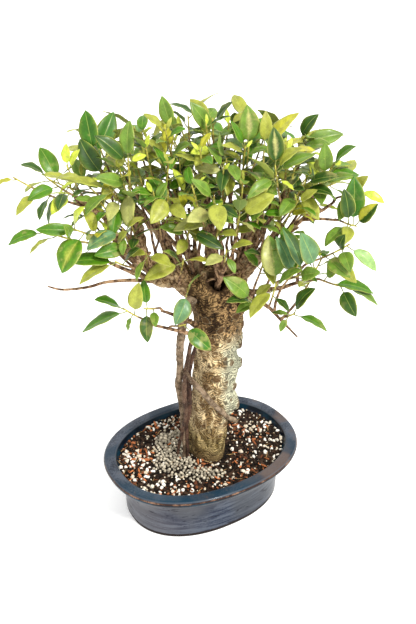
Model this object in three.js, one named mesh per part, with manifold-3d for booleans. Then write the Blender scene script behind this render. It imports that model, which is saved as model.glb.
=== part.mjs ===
// A fig bonsai with a thick trunk, aerial roots and an umbrella crown, growing in an oval glazed pot.
// Millimetres, +Z up. The origin is the middle of the pot's underside, and the pot's long axis is X.

import * as THREE from 'three';
import { mergeVertices } from 'three/addons/utils/BufferGeometryUtils.js';
import Module from 'manifold-3d';

const wasm = await Module();
wasm.setup();

// --- Driving dimensions ---------------------------------------------------------------------------

const POT_LENGTH = 252;
const POT_WIDTH = 198;
const POT_HEIGHT = 77;
const POT_SIDES = 36;
const OVAL_POWER = 2.25; // 2 is an ellipse, more is squarer
const LIP_WIDTH = 14.6;
const LIP_DROP = 9.5; // how far the lip hangs down outside
const LIP_ROUND = 2;
const FLOOR_THICKNESS = 8;
const DRAIN_RADIUS = 9;
const DRAIN_SIDES = 16;
const DRAIN_FROM_MIDDLE = 46;
const SCREEN_SIZE = 28;
const SCREEN_THICKNESS = 1.2;
const SCREEN_PITCH = 7; // from one opening of the net to the next
const SCREEN_OPENING = 4.8;

const FIT_GAP = 0.3; // between pieces that touch
const TREE_TURN = THREE.MathUtils.degToRad(-30.56); // the tree's front against the pot's long side
const VIEW_PITCH = THREE.MathUtils.degToRad(29.5); // the crown's front looks up by this much

const SOIL_EDGE_HEIGHT = 68;
const SOIL_MOUND = 3.5; // how much higher it is in the middle
const SOIL_LUMPS = 0.5;
const SOIL_RINGS = 4;
const SOIL_TOP = 90; // above every part of the surface
const GRAIN_COUNT = 14;
const GRAIN_RADIUS = 2.6; // the smallest grain's

const TRUNK_SIDES = 16;
const ROOT_FLOOR = 16; // the height that the trunk reaches down to in the soil
const TRUNK_AXIS = [14, -6];
const TRUNK_DEPTH = 24; // half the trunk's thickness from front to back
const FLUTED_FROM = 80; // below this height the trunk is plain and slimmer
const NARROW_FROM = 310; // above it the trunk is thinner from front to back

const LEAF_THICKNESS = 0.7;
const LEAF_WIDTH = 0.56; // of the blade's length
const LEAF_FOLD = THREE.MathUtils.degToRad(13);
const LEAF_STALK = 0.22; // of the whole length
const LONGEST_STALK = 9;
const STALK_RADIUS = 0.8;
const TWIG_SIDES = 3;
const TWIG_RADII = [1.8, 1.5, 1.2, 1, 0.85]; // two rings on the bare stem, three on the leafy part
const TWIG_BEND = 0.07; // of the leafy part's length

// --- The trunk's outline as it rises: height, left edge, right edge ------------------------------------

const TRUNK_OUTLINE = [
  [ROOT_FLOOR, -16, 29], [78, -16, 29], [92, -17, 31], [110, -15, 31], [124, -14, 32],
  [139, -14, 38], [153, -13, 43], [167, -13, 38], [182, -11, 41], [196, -9, 44], [209, -8, 46],
  [222, -8, 41], [236, -8, 47], [255, -8, 46], [277, -9, 49], [292, -12, 53], [307, -12, 52],
  [320, -6, 46], [331, 1, 40],
];

// Knots: direction round the trunk (degrees, 0 is right and -90 the front), height, radius
const TRUNK_KNOTS = [
  [-28, 291, 7.5], [-12, 234, 6.5], [-3, 205, 6.5], [-32, 180, 5.5], [-14, 149, 6.5], [-82, 197, 6],
  [80, 180, 7], [130, 240, 8],
];

// --- Branches and aerial roots: points along each, with a radius, thick end first -----------------------

const BRANCHES = {
  bigLeft: [[12, -6, 284, 17], [-8, -10, 304, 13.5], [-39, -20, 334, 10], [-66, -30, 351, 8],
    [-86, -38, 373, 5.4], [-95, -40, 400, 3.8], [-112, -40, 414, 2.7], [-128, -38, 424, 1.9]],
  burl: [[-60, -26, 347, 7], [-67, -15, 374, 5.6], [-70, -8, 396, 7], [-84, 0, 407, 3.4], [-98, 5, 416, 2]],
  leftSecond: [[-28, -14, 324, 5], [-38, -6, 349, 4], [-45, 4, 364, 3.2], [-52, 12, 382, 2.7],
    [-57, 20, 402, 1.9]],
  leftThird: [[-4, 0, 314, 5.4], [-16, 10, 345, 3.8], [-25, 22, 368, 3], [-27, 32, 392, 2.4],
    [-27, 38, 412, 1.8]],
  inner: [[4, 2, 318, 4.6], [-6, 6, 342, 3], [-8, 18, 364, 2.4], [-14, 32, 386, 1.8]],
  centre: [[16, 2, 318, 5.4], [13, 13, 352, 3.8], [9, 20, 380, 2.8], [4, 28, 410, 1.9]],
  clusterTall: [[38, -2, 308, 8], [46, 5, 345, 5.6], [50, 15, 373, 4.4], [48, 24, 394, 3.2],
    [44, 34, 414, 2]],
  clusterOuter: [[43, -6, 312, 7], [56, 0, 347, 4.4], [63, 5, 371, 3.2], [68, 14, 403, 2]],
  hub: [[44, -8, 314, 5], [66, -10, 352, 3], [82, -9, 376, 2.5], [88, 0, 404, 2.2], [92, 9, 426, 1.6]],
  right: [[38, -6, 306, 5.5], [60, -12, 336, 3.6], [82, -16, 362, 2.8], [110, -20, 396, 2.2],
    [129, -16, 403, 1.9], [142, -10, 410, 1.5]],
  rightOuter: [[108, -20, 394, 2], [126, -24, 397, 1.7], [142, -27, 397, 1.4]],
  lowRight: [[34, -8, 296, 5], [60, -18, 306, 3], [87, -30, 317, 2.4], [105, -40, 329, 2],
    [122, -47, 336, 1.6]],
  bareRight: [[34, -12, 290, 4.6], [56, -24, 300, 2.7], [74, -40, 299, 2.2], [88, -50, 288, 1.6],
    [106, -60, 272, 1]],
  leftLow: [[-6, -12, 298, 6], [-24, -18, 312, 4.4], [-46, -30, 324, 3.4], [-68, -40, 339, 2.6],
    [-92, -50, 356, 1.9], [-112, -56, 372, 1.3]],
  bareLeft: [[-50, -32, 326, 2.4], [-74, -44, 334, 2.1], [-100, -54, 337, 1.8], [-120, -58, 333, 1.6],
    [-146, -60, 331, 1.3], [-162, -62, 336, 0.9]],
  lowLeft: [[2, -18, 256, 4], [-16, -34, 278, 2.6], [-32, -44, 292, 2], [-42, -48, 298, 1.5]],
  frontLow: [[4, -20, 244, 3.6], [-14, -42, 266, 2.4], [-34, -54, 279, 1.9], [-54, -60, 288, 1.5]],
  frontCrown: [[18, -12, 308, 4.2], [21, -30, 328, 2.6], [24, -42, 344, 1.8]],
  backMiddle: [[16, 6, 300, 8], [8, 40, 340, 5], [2, 66, 376, 3.4], [-2, 84, 404, 2]],
  backLeft: [[-4, 4, 300, 7.5], [-36, 30, 336, 4.8], [-68, 52, 370, 3.4], [-92, 64, 396, 2]],
  backRight: [[30, 4, 302, 7.5], [56, 32, 338, 4.8], [82, 52, 370, 3.4], [104, 62, 394, 2]],
  backLow: [[10, 8, 284, 6], [-12, 44, 310, 3.6], [-40, 72, 334, 2]],
  backLowRight: [[28, 6, 284, 5.6], [42, 44, 312, 3.4], [56, 76, 338, 2]],
  thickRoot: [[-10, -18, 298, 7], [-20, -34, 276, 5.2], [-25, -40, 243, 4.4], [-26, -40, 212, 3.8],
    [-28, -38, 197, 4.4], [-26, -35, 172, 3.2], [-22, -26, 112, 2.6], [-21, -22, 82, 2.4], [-21, -22, 44, 2.4]],
  darkRoot: [[-2, -20, 264, 3.2], [-12, -34, 246, 2.4], [-15, -42, 226, 2.2], [-20, -47, 206, 2.2],
    [-20, -46, 180, 2.2], [-18, -41, 156, 2.2], [-24, -30, 114, 2], [-29, -18, 84, 1.9], [-29, -18, 50, 1.9]],
  crossRoot: [[-19, -46, 218, 3], [-8, -42, 198, 3.2], [5, -40, 180, 3.4], [20, -36, 158, 3.2],
    [33, -24, 136, 3], [42, -6, 118, 2.8], [37, 10, 108, 2.6], [26, 24, 90, 2.4], [25, 25, 82, 2.4],
    [25, 25, 50, 2.4]],
};
const ROOTS_IN_SOIL = ['thickRoot', 'darkRoot', 'crossRoot'];

// --- Leafy sprays --------------------------------------------------------------------------------------
// on: the branch that carries it and where along that branch; from and to: the leafy twig's ends.
// Each leaf: place along the twig, heading as seen from the front (0 right, 90 up), lean toward the
// viewer, whole length with its stalk, and a breadth factor where it isn't 1. more: leaves set by rule.

const SPRAYS = {
  left_top_pair: { on: ['bigLeft', 5], from: [-94, -22, 424], to: [-110, -10, 465], more: 1,
    leaves: [[1, 107, 15, 49, 1.1], [0.97, 66, 5, 52], [0.45, 122, 26, 48, 1.1], [0.5, 98, 44, 45, 1.1],
      [0.4, 175, 0, 20], [0.9, 122, -35, 46]] },
  left_light: { on: ['burl', 2], from: [-72, -32, 416], to: [-74, -24, 463], more: 2,
    leaves: [[1, 91, 25, 43], [0.95, 135, 35, 46], [0.45, 264, 10, 43, 1.1], [0.5, 168, 45, 42],
      [0.9, 150, -40, 44], [0.98, 30, 0, 22]] },
  top_spike: { on: ['leftThird', 3], from: [-35, 8, 440], to: [-28, 12, 482], more: 2,
    leaves: [[1, 110, 20, 40], [0.8, 125, 10, 28, 0.8], [0.35, 142, 35, 36], [0.3, 40, 55, 40, 1.2],
      [0.5, 5, 10, 20], [0.1, 150, 40, 40]] },
  top_fan: { on: ['centre', 3], from: [14, 12, 457], to: [13, 13, 493], more: 2,
    leaves: [[1, 136, 10, 34], [0.6, 125, 35, 44], [1, 63, 20, 30], [0.9, 50, 48, 38], [0.2, 200, 50, 36],
      [0.1, 345, 35, 36]] },
  top_two_tone: { on: ['clusterOuter', 3], from: [48, -8, 438], to: [50, -8, 471], more: 2,
    leaves: [[1, 92, 35, 46, 1.2], [0.95, 76, -25, 50], [0.9, 136, -35, 40], [0.75, 152, 50, 40],
      [0.3, 350, 40, 36]] },
  top_arch: { on: ['clusterOuter', 2.5], from: [65, -16, 434], to: [66, -12, 474], more: 1,
    leaves: [[1, 88, 30, 38, 0.9], [0.95, 52, 12, 52, 0.9], [0.55, 42, 0, 56, 0.8], [0.25, 300, 35, 34]] },
  cream_leaf: { on: ['hub', 3], from: [82, -40, 426], to: [76, -40, 461], more: 2,
    leaves: [[1, 92, 35, 43, 1.1], [0.95, 70, 50, 38], [0.9, 30, 35, 45], [0.7, 330, 20, 22],
      [0.75, 217, 25, 43, 0.8]] },
  right_tip: { on: ['hub', 4], from: [103, 7, 443], to: [104, 10, 473], more: 2,
    leaves: [[1, 72, 50, 36, 1.1], [0.9, 15, 5, 50, 0.9], [0.8, 0, 50, 42], [0.5, 178, -20, 40]] },
  right_fan: { on: ['right', 4], from: [120, -12, 424], to: [138, -18, 455], more: 2,
    leaves: [[0.6, 94, 50, 42], [0.95, 75, 50, 38, 1.2], [1, 60, 0, 16], [1, 2, 10, 44, 0.7],
      [0.6, 345, 35, 44], [0.35, 15, 35, 38]] },
  hub_dark: { on: ['hub', 2.5], from: [96, -22, 414], to: [108, -26, 438], more: 0,
    leaves: [[1, 20, 45, 42], [0.8, 350, 45, 40], [0.7, 300, 40, 40], [0.4, 205, 45, 40]] },
  right_pale: { on: ['right', 5], from: [147, -8, 415], to: [168, -10, 424], more: 0,
    leaves: [[1, 340, 15, 32, 0.9], [0.3, 60, 40, 36], [0.6, 245, 30, 36], [0.6, 80, -30, 38]] },
  right_bright: { on: ['rightOuter', 2], from: [148, -29, 397], to: [163, -36, 394], more: 0,
    leaves: [[0.9, 91, 8, 52, 1.05], [1, 50, 46, 38, 1.1], [0.6, 103, 45, 42], [0.8, 205, 30, 42],
      [0.5, 255, 50, 36]] },
  right_low: { on: ['lowRight', 4], from: [129, -51, 338], to: [155, -60, 334], more: 0,
    leaves: [[1, 337, 20, 40, 1.1], [0.8, 290, 35, 40, 1.1], [0.35, 335, 20, 48], [0.1, 60, 50, 38]] },
  right_middle: { on: ['lowRight', 3], from: [117, -52, 360], to: [155, -52, 380], more: 0,
    leaves: [[1, 325, 10, 42, 0.9], [0.6, 300, 40, 44, 0.9], [0.85, 280, 50, 40], [0.4, 330, 42, 44],
      [0.8, 60, 45, 36]] },
  right_teal: { on: ['lowRight', 2], from: [90, -66, 347], to: [118, -86, 370], more: 0,
    leaves: [[1, 110, 45, 47, 1.2], [0.6, 106, 10, 53, 0.95], [0.25, 101, 35, 48, 0.95], [0.4, 40, 60, 40],
      [0.6, 320, 50, 42]] },
  khaki_pair: { on: ['bareRight', 2], from: [75, -54, 310], to: [79, -74, 346], more: 0,
    leaves: [[1, 97, 10, 54, 1.15], [0.85, 220, 25, 44], [0.9, 72, 52, 44], [0.5, 320, 30, 26]] },
  crown_right: { on: ['bareRight', 1], from: [63, -40, 306], to: [56, -60, 318], more: 0,
    leaves: [[1, 140, 35, 45, 1.1], [0.85, 160, 60, 38], [0.3, 200, 45, 32], [0.7, 60, 50, 32]] },
  low_right: { on: ['bareRight', 3], from: [90, -58, 296], to: [100, -68, 306], more: 0,
    leaves: [[0.95, 66, 40, 42, 1.1], [1, 350, 15, 42], [0.5, 240, 0, 20], [0.8, 165, 10, 22]] },
  trunk_leaf: { on: ['leftLow', 1], from: [-14, -34, 322], to: [-14, -52, 324], more: 0,
    leaves: [[1, 256, 25, 40, 1.25], [0.6, 60, 50, 32]] },
  leaf_on_trunk: { on: ['frontLow', 2], from: [-30, -60, 286], to: [-18, -64, 290], more: 0,
    leaves: [[1, 320, 20, 42, 1.15]] },
  hanging_dark: { on: ['lowLeft', 3], from: [-46, -50, 303], to: [-60, -55, 305], more: 0,
    leaves: [[0.95, 272, 10, 38], [0.4, 282, 45, 26], [0.9, 100, 40, 34]] },
  long_low: { on: ['frontLow', 3], from: [-62, -62, 296], to: [-81, -70, 313], more: 0,
    leaves: [[0.9, 197, 0, 54, 1.05], [1, 150, 45, 42, 1.2], [0.6, 245, 0, 20], [0.5, 80, 45, 42]] },
  olive_hanging: { on: ['leftLow', 3], from: [-75, -48, 352], to: [-88, -62, 365], more: 0,
    leaves: [[1, 202, 15, 46, 1.05], [0.9, 178, 10, 54, 0.9], [0.9, 270, 30, 46, 1.15], [0.6, 45, 50, 38]] },
  left_round: { on: ['bigLeft', 4], from: [-90, -50, 385], to: [-131, -62, 403], more: 0,
    leaves: [[0.75, 236, 10, 49, 1.35], [0.9, 178, 30, 44, 0.8], [0.95, 150, 12, 50, 1.25], [1, 75, 50, 34],
      [0.4, 110, 45, 38]] },
  left_teal: { on: ['bigLeft', 3], from: [-72, -47, 371], to: [-80, -54, 398], more: 0,
    leaves: [[1, 190, 20, 44, 1.05], [0.2, 196, 25, 42], [0.1, 232, 38, 42, 0.85], [0.8, 262, 20, 22],
      [0.9, 50, 45, 34]] },
  red_twig: { on: ['bigLeft', 7], from: [-132, -38, 430], to: [-154, -44, 450], more: 0,
    leaves: [[1, 135, 45, 36, 1.1], [1, 55, 40, 32], [0.9, 18, 35, 36, 0.8], [0.6, 205, 45, 38],
      [0.1, 225, 35, 38], [0.3, 262, 45, 34]] },
  far_left: { on: ['bigLeft', 6.3], from: [-140, -48, 428], to: [-185, -56, 455], more: 0,
    leaves: [[1, 183, 0, 26, 0.8], [0.5, 212, 35, 36, 0.9], [0.3, 250, 40, 34]] },
  left_bud: { on: ['bigLeft', 6], from: [-124, -24, 424], to: [-138, -18, 453], more: 0,
    leaves: [[1, 98, 20, 26, 1.1], [0.95, 60, 30, 26], [0.6, 168, 20, 34], [0.5, 350, 40, 34]] },
  left_long_arm: { on: ['burl', 3], from: [-82, -24, 414], to: [-92, -42, 438], more: 0,
    leaves: [[1, 162, 10, 52, 0.9], [0.9, 215, 40, 43, 1.1], [0.9, 35, 40, 36], [0.3, 262, 25, 38, 1.1],
      [0.5, 255, 50, 36]] },
  left_arch: { on: ['bigLeft', 4], from: [-104, -56, 382], to: [-160, -66, 402], more: 0,
    leaves: [[1, 190, 5, 44, 0.8], [0.8, 205, 25, 36, 0.8], [0.5, 235, 45, 36], [0.55, 110, 50, 32]] },
  heart: { on: ['leftSecond', 2], from: [-36, -20, 389], to: [-33, -42, 434], more: 2,
    leaves: [[1, 246, 40, 42, 1.15], [0.95, 208, 42, 36], [1, 60, 40, 38], [1, 130, 15, 34, 0.7],
      [0.8, 315, 45, 36], [0.6, 160, 30, 36]] },
  heart_upper: { on: ['leftThird', 2], from: [-24, 6, 381], to: [-14, -6, 420], more: 2,
    leaves: [[1, 56, 45, 38, 1.1], [0.9, 35, 20, 42], [0.8, 8, 40, 38], [0.7, 170, 45, 38],
      [0.95, 110, 40, 36]] },
  centre_down: { on: ['centre', 1], from: [14, -30, 392], to: [14, -58, 436], more: 1,
    leaves: [[0.6, 207, 35, 40, 1.05], [1, 282, 40, 42, 1.15], [0.95, 130, 45, 36], [0.8, 335, 45, 36],
      [1, 60, 50, 38]] },
  olive_face: { on: ['clusterTall', 1], from: [36, -38, 378], to: [40, -60, 418], more: 0,
    leaves: [[0.95, 42, 38, 44, 1.2], [0.85, 330, 20, 22], [0.7, 150, 50, 36], [1, 90, 55, 38]] },
  three_hanging: { on: ['clusterTall', 3], from: [29, -8, 422], to: [27, -20, 461], more: 2,
    leaves: [[0.95, 256, 40, 38], [0.97, 298, 45, 36], [0.75, 276, 45, 36], [0.7, 172, 0, 34],
      [1, 85, 55, 36]] },
  near_crown: { on: ['frontCrown', 2], from: [25, -48, 352], to: [27, -61, 377], more: 0,
    leaves: [[1, 32, 45, 36, 1.1], [0.8, 300, 20, 22], [0.85, 205, 50, 34]] },
  dark_across: { on: ['inner', 1], from: [-16, -24, 362], to: [-12, -42, 393], more: 0,
    leaves: [[1, 332, 12, 42, 0.85], [0.8, 150, 45, 34], [0.7, 245, 50, 32]] },
  grey_low: { on: ['leftLow', 1], from: [-22, -36, 336], to: [-18, -50, 362], more: 0,
    leaves: [[1, 3, 45, 38], [0.9, 203, 10, 46, 0.95], [0.6, 120, 45, 34]] },
  left_inner: { on: ['leftLow', 2.4], from: [-57, -43, 346], to: [-57, -50, 368], more: 0,
    leaves: [[1, 345, 42, 36], [0.9, 250, 20, 30, 0.8], [0.8, 140, 45, 34]] },
  // the sides and the back
  top_back_left: { on: ['leftSecond', 4], from: [-62, 34, 438], to: [-72, 46, 474], more: 4 },
  top_back_middle: { on: ['leftThird', 4], from: [-12, 52, 446], to: [-14, 62, 482], more: 4 },
  top_back_right: { on: ['clusterTall', 4], from: [44, 42, 446], to: [50, 54, 480], more: 4 },
  top_right: { on: ['hub', 4], from: [84, 30, 440], to: [88, 42, 470], more: 4 },
  top_left: { on: ['burl', 4], from: [-100, 24, 434], to: [-112, 32, 466], more: 4 },
  side_left: { on: ['burl', 4], from: [-128, 16, 412], to: [-166, 22, 424], more: 4 },
  side_right: { on: ['backRight', 3], from: [124, 50, 400], to: [156, 56, 408], more: 4 },
  back_left_high: { on: ['backLeft', 3], from: [-104, 58, 412], to: [-128, 66, 440], more: 4 },
  back_left: { on: ['backLeft', 3], from: [-98, 84, 396], to: [-116, 112, 408], more: 4 },
  back_middle_left: { on: ['backMiddle', 3], from: [-22, 100, 420], to: [-36, 122, 446], more: 4 },
  back_middle_right: { on: ['backMiddle', 3], from: [18, 102, 420], to: [30, 124, 446], more: 4 },
  back_right: { on: ['backRight', 3], from: [98, 84, 406], to: [110, 108, 424], more: 4 },
  back_right_high: { on: ['backRight', 2.5], from: [108, 50, 424], to: [118, 52, 454], more: 4 },
  back_low_left: { on: ['backLow', 2], from: [-60, 88, 346], to: [-86, 112, 354], more: 4 },
  back_low_right: { on: ['backLowRight', 2], from: [66, 92, 350], to: [84, 120, 356], more: 4 },
  back_low_middle: { on: ['backMiddle', 2], from: [0, 96, 366], to: [2, 130, 372], more: 4 },
};

const LEAF_KEYS = 10; // random keys kept for each spray, one for each leaf
const SPIRAL_STEP = 2.4; // radians round the twig from one leaf to the next

// Small turns tried in order until a leaf clears its neighbours: turn, tip and roll, in degrees
const LEAF_TURNS = [
  [0, 0, 0], [0, 12, 0], [0, -12, 0], [14, 0, 0], [-14, 0, 0], [0, 0, 28], [0, 0, -28], [12, 14, 0],
  [-12, 14, 0], [12, -14, 0], [-12, -14, 0], [0, 26, 20], [0, -26, -20], [28, 0, 15], [-28, 0, -15],
  [24, 22, 0], [-24, -22, 0], [38, 0, 0], [-38, 0, 0], [0, 40, 0],
];

// --- Colours --------------------------------------------------------------------------------------------

const LOOKS = {
  glaze: { color: 0x2b3b4e, roughness: 0.22, metalness: 0 },
  screen: { color: 0x1d1f20, roughness: 0.6, metalness: 0 },
  soil: { color: 0x2b211c, roughness: 0.95, metalness: 0 },
  bark: { color: 0x7d6a50, roughness: 0.85, metalness: 0 },
  leaf: { color: 0x4d8a2c, roughness: 0.4, metalness: 0 },
};

// --- Solids ---------------------------------------------------------------------------------------------

const vec = (p) => new THREE.Vector3(p[0], p[1], p[2]);
const radians = THREE.MathUtils.degToRad;

// A number from 0 to 1 that depends only on the key
function drawn(key) {
  const wave = Math.sin(key * 12.9898 + 4.1414) * 43758.5453;
  return wave - Math.floor(wave);
}

function solidFrom(points, triangles) {
  const vertProperties = new Float32Array(points.flatMap((p) => [p.x, p.y, p.z]));
  const triVerts = new Uint32Array(triangles);
  return new wasm.Manifold(new wasm.Mesh({ numProp: 3, vertProperties, triVerts }));
}

function solidFromGeometry(geometry) {
  const bare = geometry.clone();
  bare.deleteAttribute('normal');
  bare.deleteAttribute('uv');
  const merged = mergeVertices(bare, 1e-4);
  const position = merged.getAttribute('position');
  const points = Array.from({ length: position.count }, (_, i) =>
    new THREE.Vector3().fromBufferAttribute(position, i));
  return solidFrom(points, Array.from(merged.index.array));
}

// A closed skin over rings of equal count, counter-clockwise seen from the end
function loft(rings) {
  const sides = rings[0].length;
  const points = rings.flat();
  const triangles = [];
  for (let r = 0; r + 1 < rings.length; r++) {
    for (let i = 0; i < sides; i++) {
      const a = r * sides + i;
      const b = r * sides + ((i + 1) % sides);
      triangles.push(a, b, b + sides, a, b + sides, a + sides);
    }
  }
  const last = (rings.length - 1) * sides;
  for (let i = 1; i + 1 < sides; i++) {
    triangles.push(0, i + 1, i, last, last + i, last + i + 1);
  }
  return solidFrom(points, triangles);
}

// Rings square to a path; every ring follows on from the one before without a twist
function tube(path, radii, sides) {
  let across = null;
  const rings = path.map((centre, i) => {
    const ahead = path[Math.min(i + 1, path.length - 1)];
    const behind = path[Math.max(i - 1, 0)];
    const along = ahead.clone().sub(behind).normalize();
    if (!across) {
      across = Math.abs(along.x) < 0.8 ? new THREE.Vector3(1, 0, 0) : new THREE.Vector3(0, 1, 0);
    }
    across.addScaledVector(along, -across.dot(along)).normalize();
    const up = along.clone().cross(across);
    return Array.from({ length: sides }, (_, k) => {
      const angle = (2 * Math.PI * k) / sides;
      return centre.clone()
        .addScaledVector(across, radii[i] * Math.cos(angle))
        .addScaledVector(up, radii[i] * Math.sin(angle));
    });
  });
  return loft(rings);
}

function oval(halfLength, halfWidth, z, sides = POT_SIDES) {
  return Array.from({ length: sides }, (_, i) => {
    const angle = (2 * Math.PI * i) / sides;
    const c = Math.cos(angle);
    const s = Math.sin(angle);
    return new THREE.Vector3(
      halfLength * Math.sign(c) * Math.abs(c) ** (2 / OVAL_POWER),
      halfWidth * Math.sign(s) * Math.abs(s) ** (2 / OVAL_POWER),
      z,
    );
  });
}

function meshOf(solid, name, look) {
  const { vertProperties, triVerts } = solid.getMesh();
  const geometry = new THREE.BufferGeometry();
  geometry.setAttribute('position', new THREE.BufferAttribute(new Float32Array(vertProperties), 3));
  geometry.setIndex(new THREE.BufferAttribute(new Uint32Array(triVerts), 1));
  const mesh = new THREE.Mesh(geometry, new THREE.MeshStandardMaterial(LOOKS[look]));
  mesh.name = name;
  return mesh;
}

// --- Pot ------------------------------------------------------------------------------------------------

const halfLength = POT_LENGTH / 2;
const halfWidth = POT_WIDTH / 2;

// Height and inset from the rim: up from the foot to the shoulder under the lip
const OUTER_WALL = [[0, 26], [3, 25], [40, 24], [56, 18.5], [POT_HEIGHT - LIP_DROP - 1.5, 12]];
// The same for the inside, down from just under the lip
const INNER_WALL = [[POT_HEIGHT - 8, 18], [58, 25], [FLOOR_THICKNESS, 32]];

// An oval that stands in from the rim by the same amount all round
function insetOval(inset, z) {
  return oval(halfLength - inset, halfWidth - inset, z);
}

function potSolid() {
  const rings = OUTER_WALL.map(([z, inset]) => insetOval(inset, z));
  rings.push(insetOval(0.75 * LIP_ROUND, POT_HEIGHT - LIP_DROP + 0.75 * LIP_ROUND));
  rings.push(insetOval(0, POT_HEIGHT - 2 * LIP_ROUND));
  rings.push(insetOval(LIP_ROUND, POT_HEIGHT));
  rings.push(insetOval(LIP_WIDTH, POT_HEIGHT));
  INNER_WALL.forEach(([z, inset]) => rings.push(insetOval(inset, z)));
  let pot = loft(rings);
  for (const side of [-1, 1]) {
    const hole = new THREE.CylinderGeometry(DRAIN_RADIUS, DRAIN_RADIUS, 3 * FLOOR_THICKNESS, DRAIN_SIDES);
    hole.rotateX(Math.PI / 2).translate(side * DRAIN_FROM_MIDDLE, 0, 0);
    pot = pot.subtract(solidFromGeometry(hole));
  }
  return pot;
}

// A square block round a middle
function blockSolid(size, height, x, y, z) {
  return solidFromGeometry(new THREE.BoxGeometry(size, size, height).translate(x, y, z));
}

// A square of plastic net that keeps the soil in over each drain hole
function screenSolid(side) {
  const middle = side * DRAIN_FROM_MIDDLE;
  const z = FLOOR_THICKNESS + FIT_GAP + SCREEN_THICKNESS / 2;
  const openings = [];
  for (const x of [-SCREEN_PITCH, 0, SCREEN_PITCH]) {
    for (const y of [-SCREEN_PITCH, 0, SCREEN_PITCH]) {
      openings.push(blockSolid(SCREEN_OPENING, 3 * SCREEN_THICKNESS, middle + x, y, z));
    }
  }
  const plate = blockSolid(SCREEN_SIZE, SCREEN_THICKNESS, middle, 0, z);
  return plate.subtract(wasm.Manifold.union(openings));
}

// --- Wood: trunk, branches and aerial roots, grown as one -----------------------------------------------

// How much the trunk's surface swells or sinks at an angle and a height
function flutes(angle, z) {
  return 1 + 0.03 * Math.sin(3 * angle + z / 19) + 0.025 * Math.sin(5 * angle - z / 13);
}

function trunkDepth(z) {
  if (z < FLUTED_FROM) {
    return TRUNK_DEPTH - 2;
  }
  return z > NARROW_FROM ? 0.85 * TRUNK_DEPTH : TRUNK_DEPTH;
}

function trunkRing([z, left, right], grow = 0) {
  const [axisX, axisY] = TRUNK_AXIS;
  const depth = trunkDepth(z);
  return Array.from({ length: TRUNK_SIDES }, (_, i) => {
    const angle = (2 * Math.PI * i) / TRUNK_SIDES;
    const flute = z < FLUTED_FROM ? 1 : flutes(angle, z);
    const reach = Math.cos(angle) > 0 ? right - axisX : axisX - left;
    return new THREE.Vector3(
      axisX + (reach * flute + grow) * Math.cos(angle),
      axisY + (depth * flute + grow) * Math.sin(angle),
      z,
    );
  });
}

function trunkRadius(angle, z) {
  const ring = TRUNK_OUTLINE.findIndex(([height]) => height > z);
  const [, left, right] = TRUNK_OUTLINE[ring];
  const reach = Math.cos(angle) > 0 ? right - TRUNK_AXIS[0] : TRUNK_AXIS[0] - left;
  return Math.hypot(reach * Math.cos(angle), TRUNK_DEPTH * Math.sin(angle));
}

function knotSolid([degrees, z, radius]) {
  const angle = radians(degrees);
  const out = trunkRadius(angle, z) - 0.35 * radius;
  const lump = new THREE.IcosahedronGeometry(radius, 0);
  lump.rotateZ(angle).scale(1, 1, 0.9);
  lump.translate(TRUNK_AXIS[0] + out * Math.cos(angle), TRUNK_AXIS[1] + out * Math.sin(angle), z);
  return solidFromGeometry(lump);
}

function branchPoint(name, place) {
  const points = BRANCHES[name];
  const index = Math.min(Math.floor(place), points.length - 2);
  return vec(points[index]).lerp(vec(points[index + 1]), place - index);
}

// The leafy part of a twig: an even bend up to its tip
function twigCurve({ from, to }) {
  const middle = vec(from).lerp(vec(to), 0.5);
  middle.z -= TWIG_BEND * vec(from).distanceTo(vec(to));
  return new THREE.QuadraticBezierCurve3(vec(from), middle, vec(to));
}

// The bare part, which leaves the middle of its branch and runs into the leafy part
function stemCurve(spray) {
  const base = branchPoint(...spray.on);
  const end = vec(spray.from);
  const middle = end.clone().addScaledVector(twigCurve(spray).getTangent(0), -0.45 * base.distanceTo(end));
  return new THREE.QuadraticBezierCurve3(base, middle, end);
}

// One twig, bare from a place along its stem; grow fattens it for the test against the branches
function twigSolid(spray, bareFrom, grow = 0) {
  const stem = stemCurve(spray);
  const start = stem.getPoint(bareFrom).addScaledVector(stem.getTangent(bareFrom), -grow);
  const path = [start, stem.getPoint((1 + bareFrom) / 2), ...twigCurve(spray).getPoints(2)];
  return tube(path, TWIG_RADII.map((radius) => radius + grow), TWIG_SIDES);
}

// The twig starts just clear of the branch that it grew from
function clearTwig(spray, wood) {
  const step = FIT_GAP / stemCurve(spray).getLength();
  let bareFrom = 0;
  while (overlaps(twigSolid(spray, bareFrom, FIT_GAP), wood)) {
    bareFrom += step;
  }
  return twigSolid(spray, bareFrom);
}

// A thick branch has more sides than a thin one
function branchSolid(points) {
  const thickest = points[0][3];
  const sides = [5.5, 4.5].filter((radius) => thickest > radius).length + 4;
  return tube(points.map(vec), points.map((p) => p[3]), sides);
}

function woodSolid() {
  const trunk = loft(TRUNK_OUTLINE.map((row) => trunkRing(row)));
  const branches = Object.values(BRANCHES).map(branchSolid);
  const wood = wasm.Manifold.union([trunk, ...TRUNK_KNOTS.map(knotSolid), ...branches]);
  // where the top was cut off, the heartwood has rotted to a pit
  const pit = new THREE.ConeGeometry(9.5, 34, 7).rotateX(-Math.PI / 2).translate(28, -13, 331);
  return wood.subtract(solidFromGeometry(pit));
}

// --- Leaves ---------------------------------------------------------------------------------------------

// What the front's viewer sees as right, up and toward
const SEEN_RIGHT = new THREE.Vector3(1, 0, 0);
const SEEN_UP = new THREE.Vector3(0, Math.sin(VIEW_PITCH), Math.cos(VIEW_PITCH));
const SEEN_NEAR = new THREE.Vector3(0, -Math.cos(VIEW_PITCH), Math.sin(VIEW_PITCH));
const UP = new THREE.Vector3(0, 0, 1);

// The part of a direction that is square to another
function squareTo(direction, wanted) {
  return wanted.clone().addScaledVector(direction, -wanted.dot(direction)).normalize();
}

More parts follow.
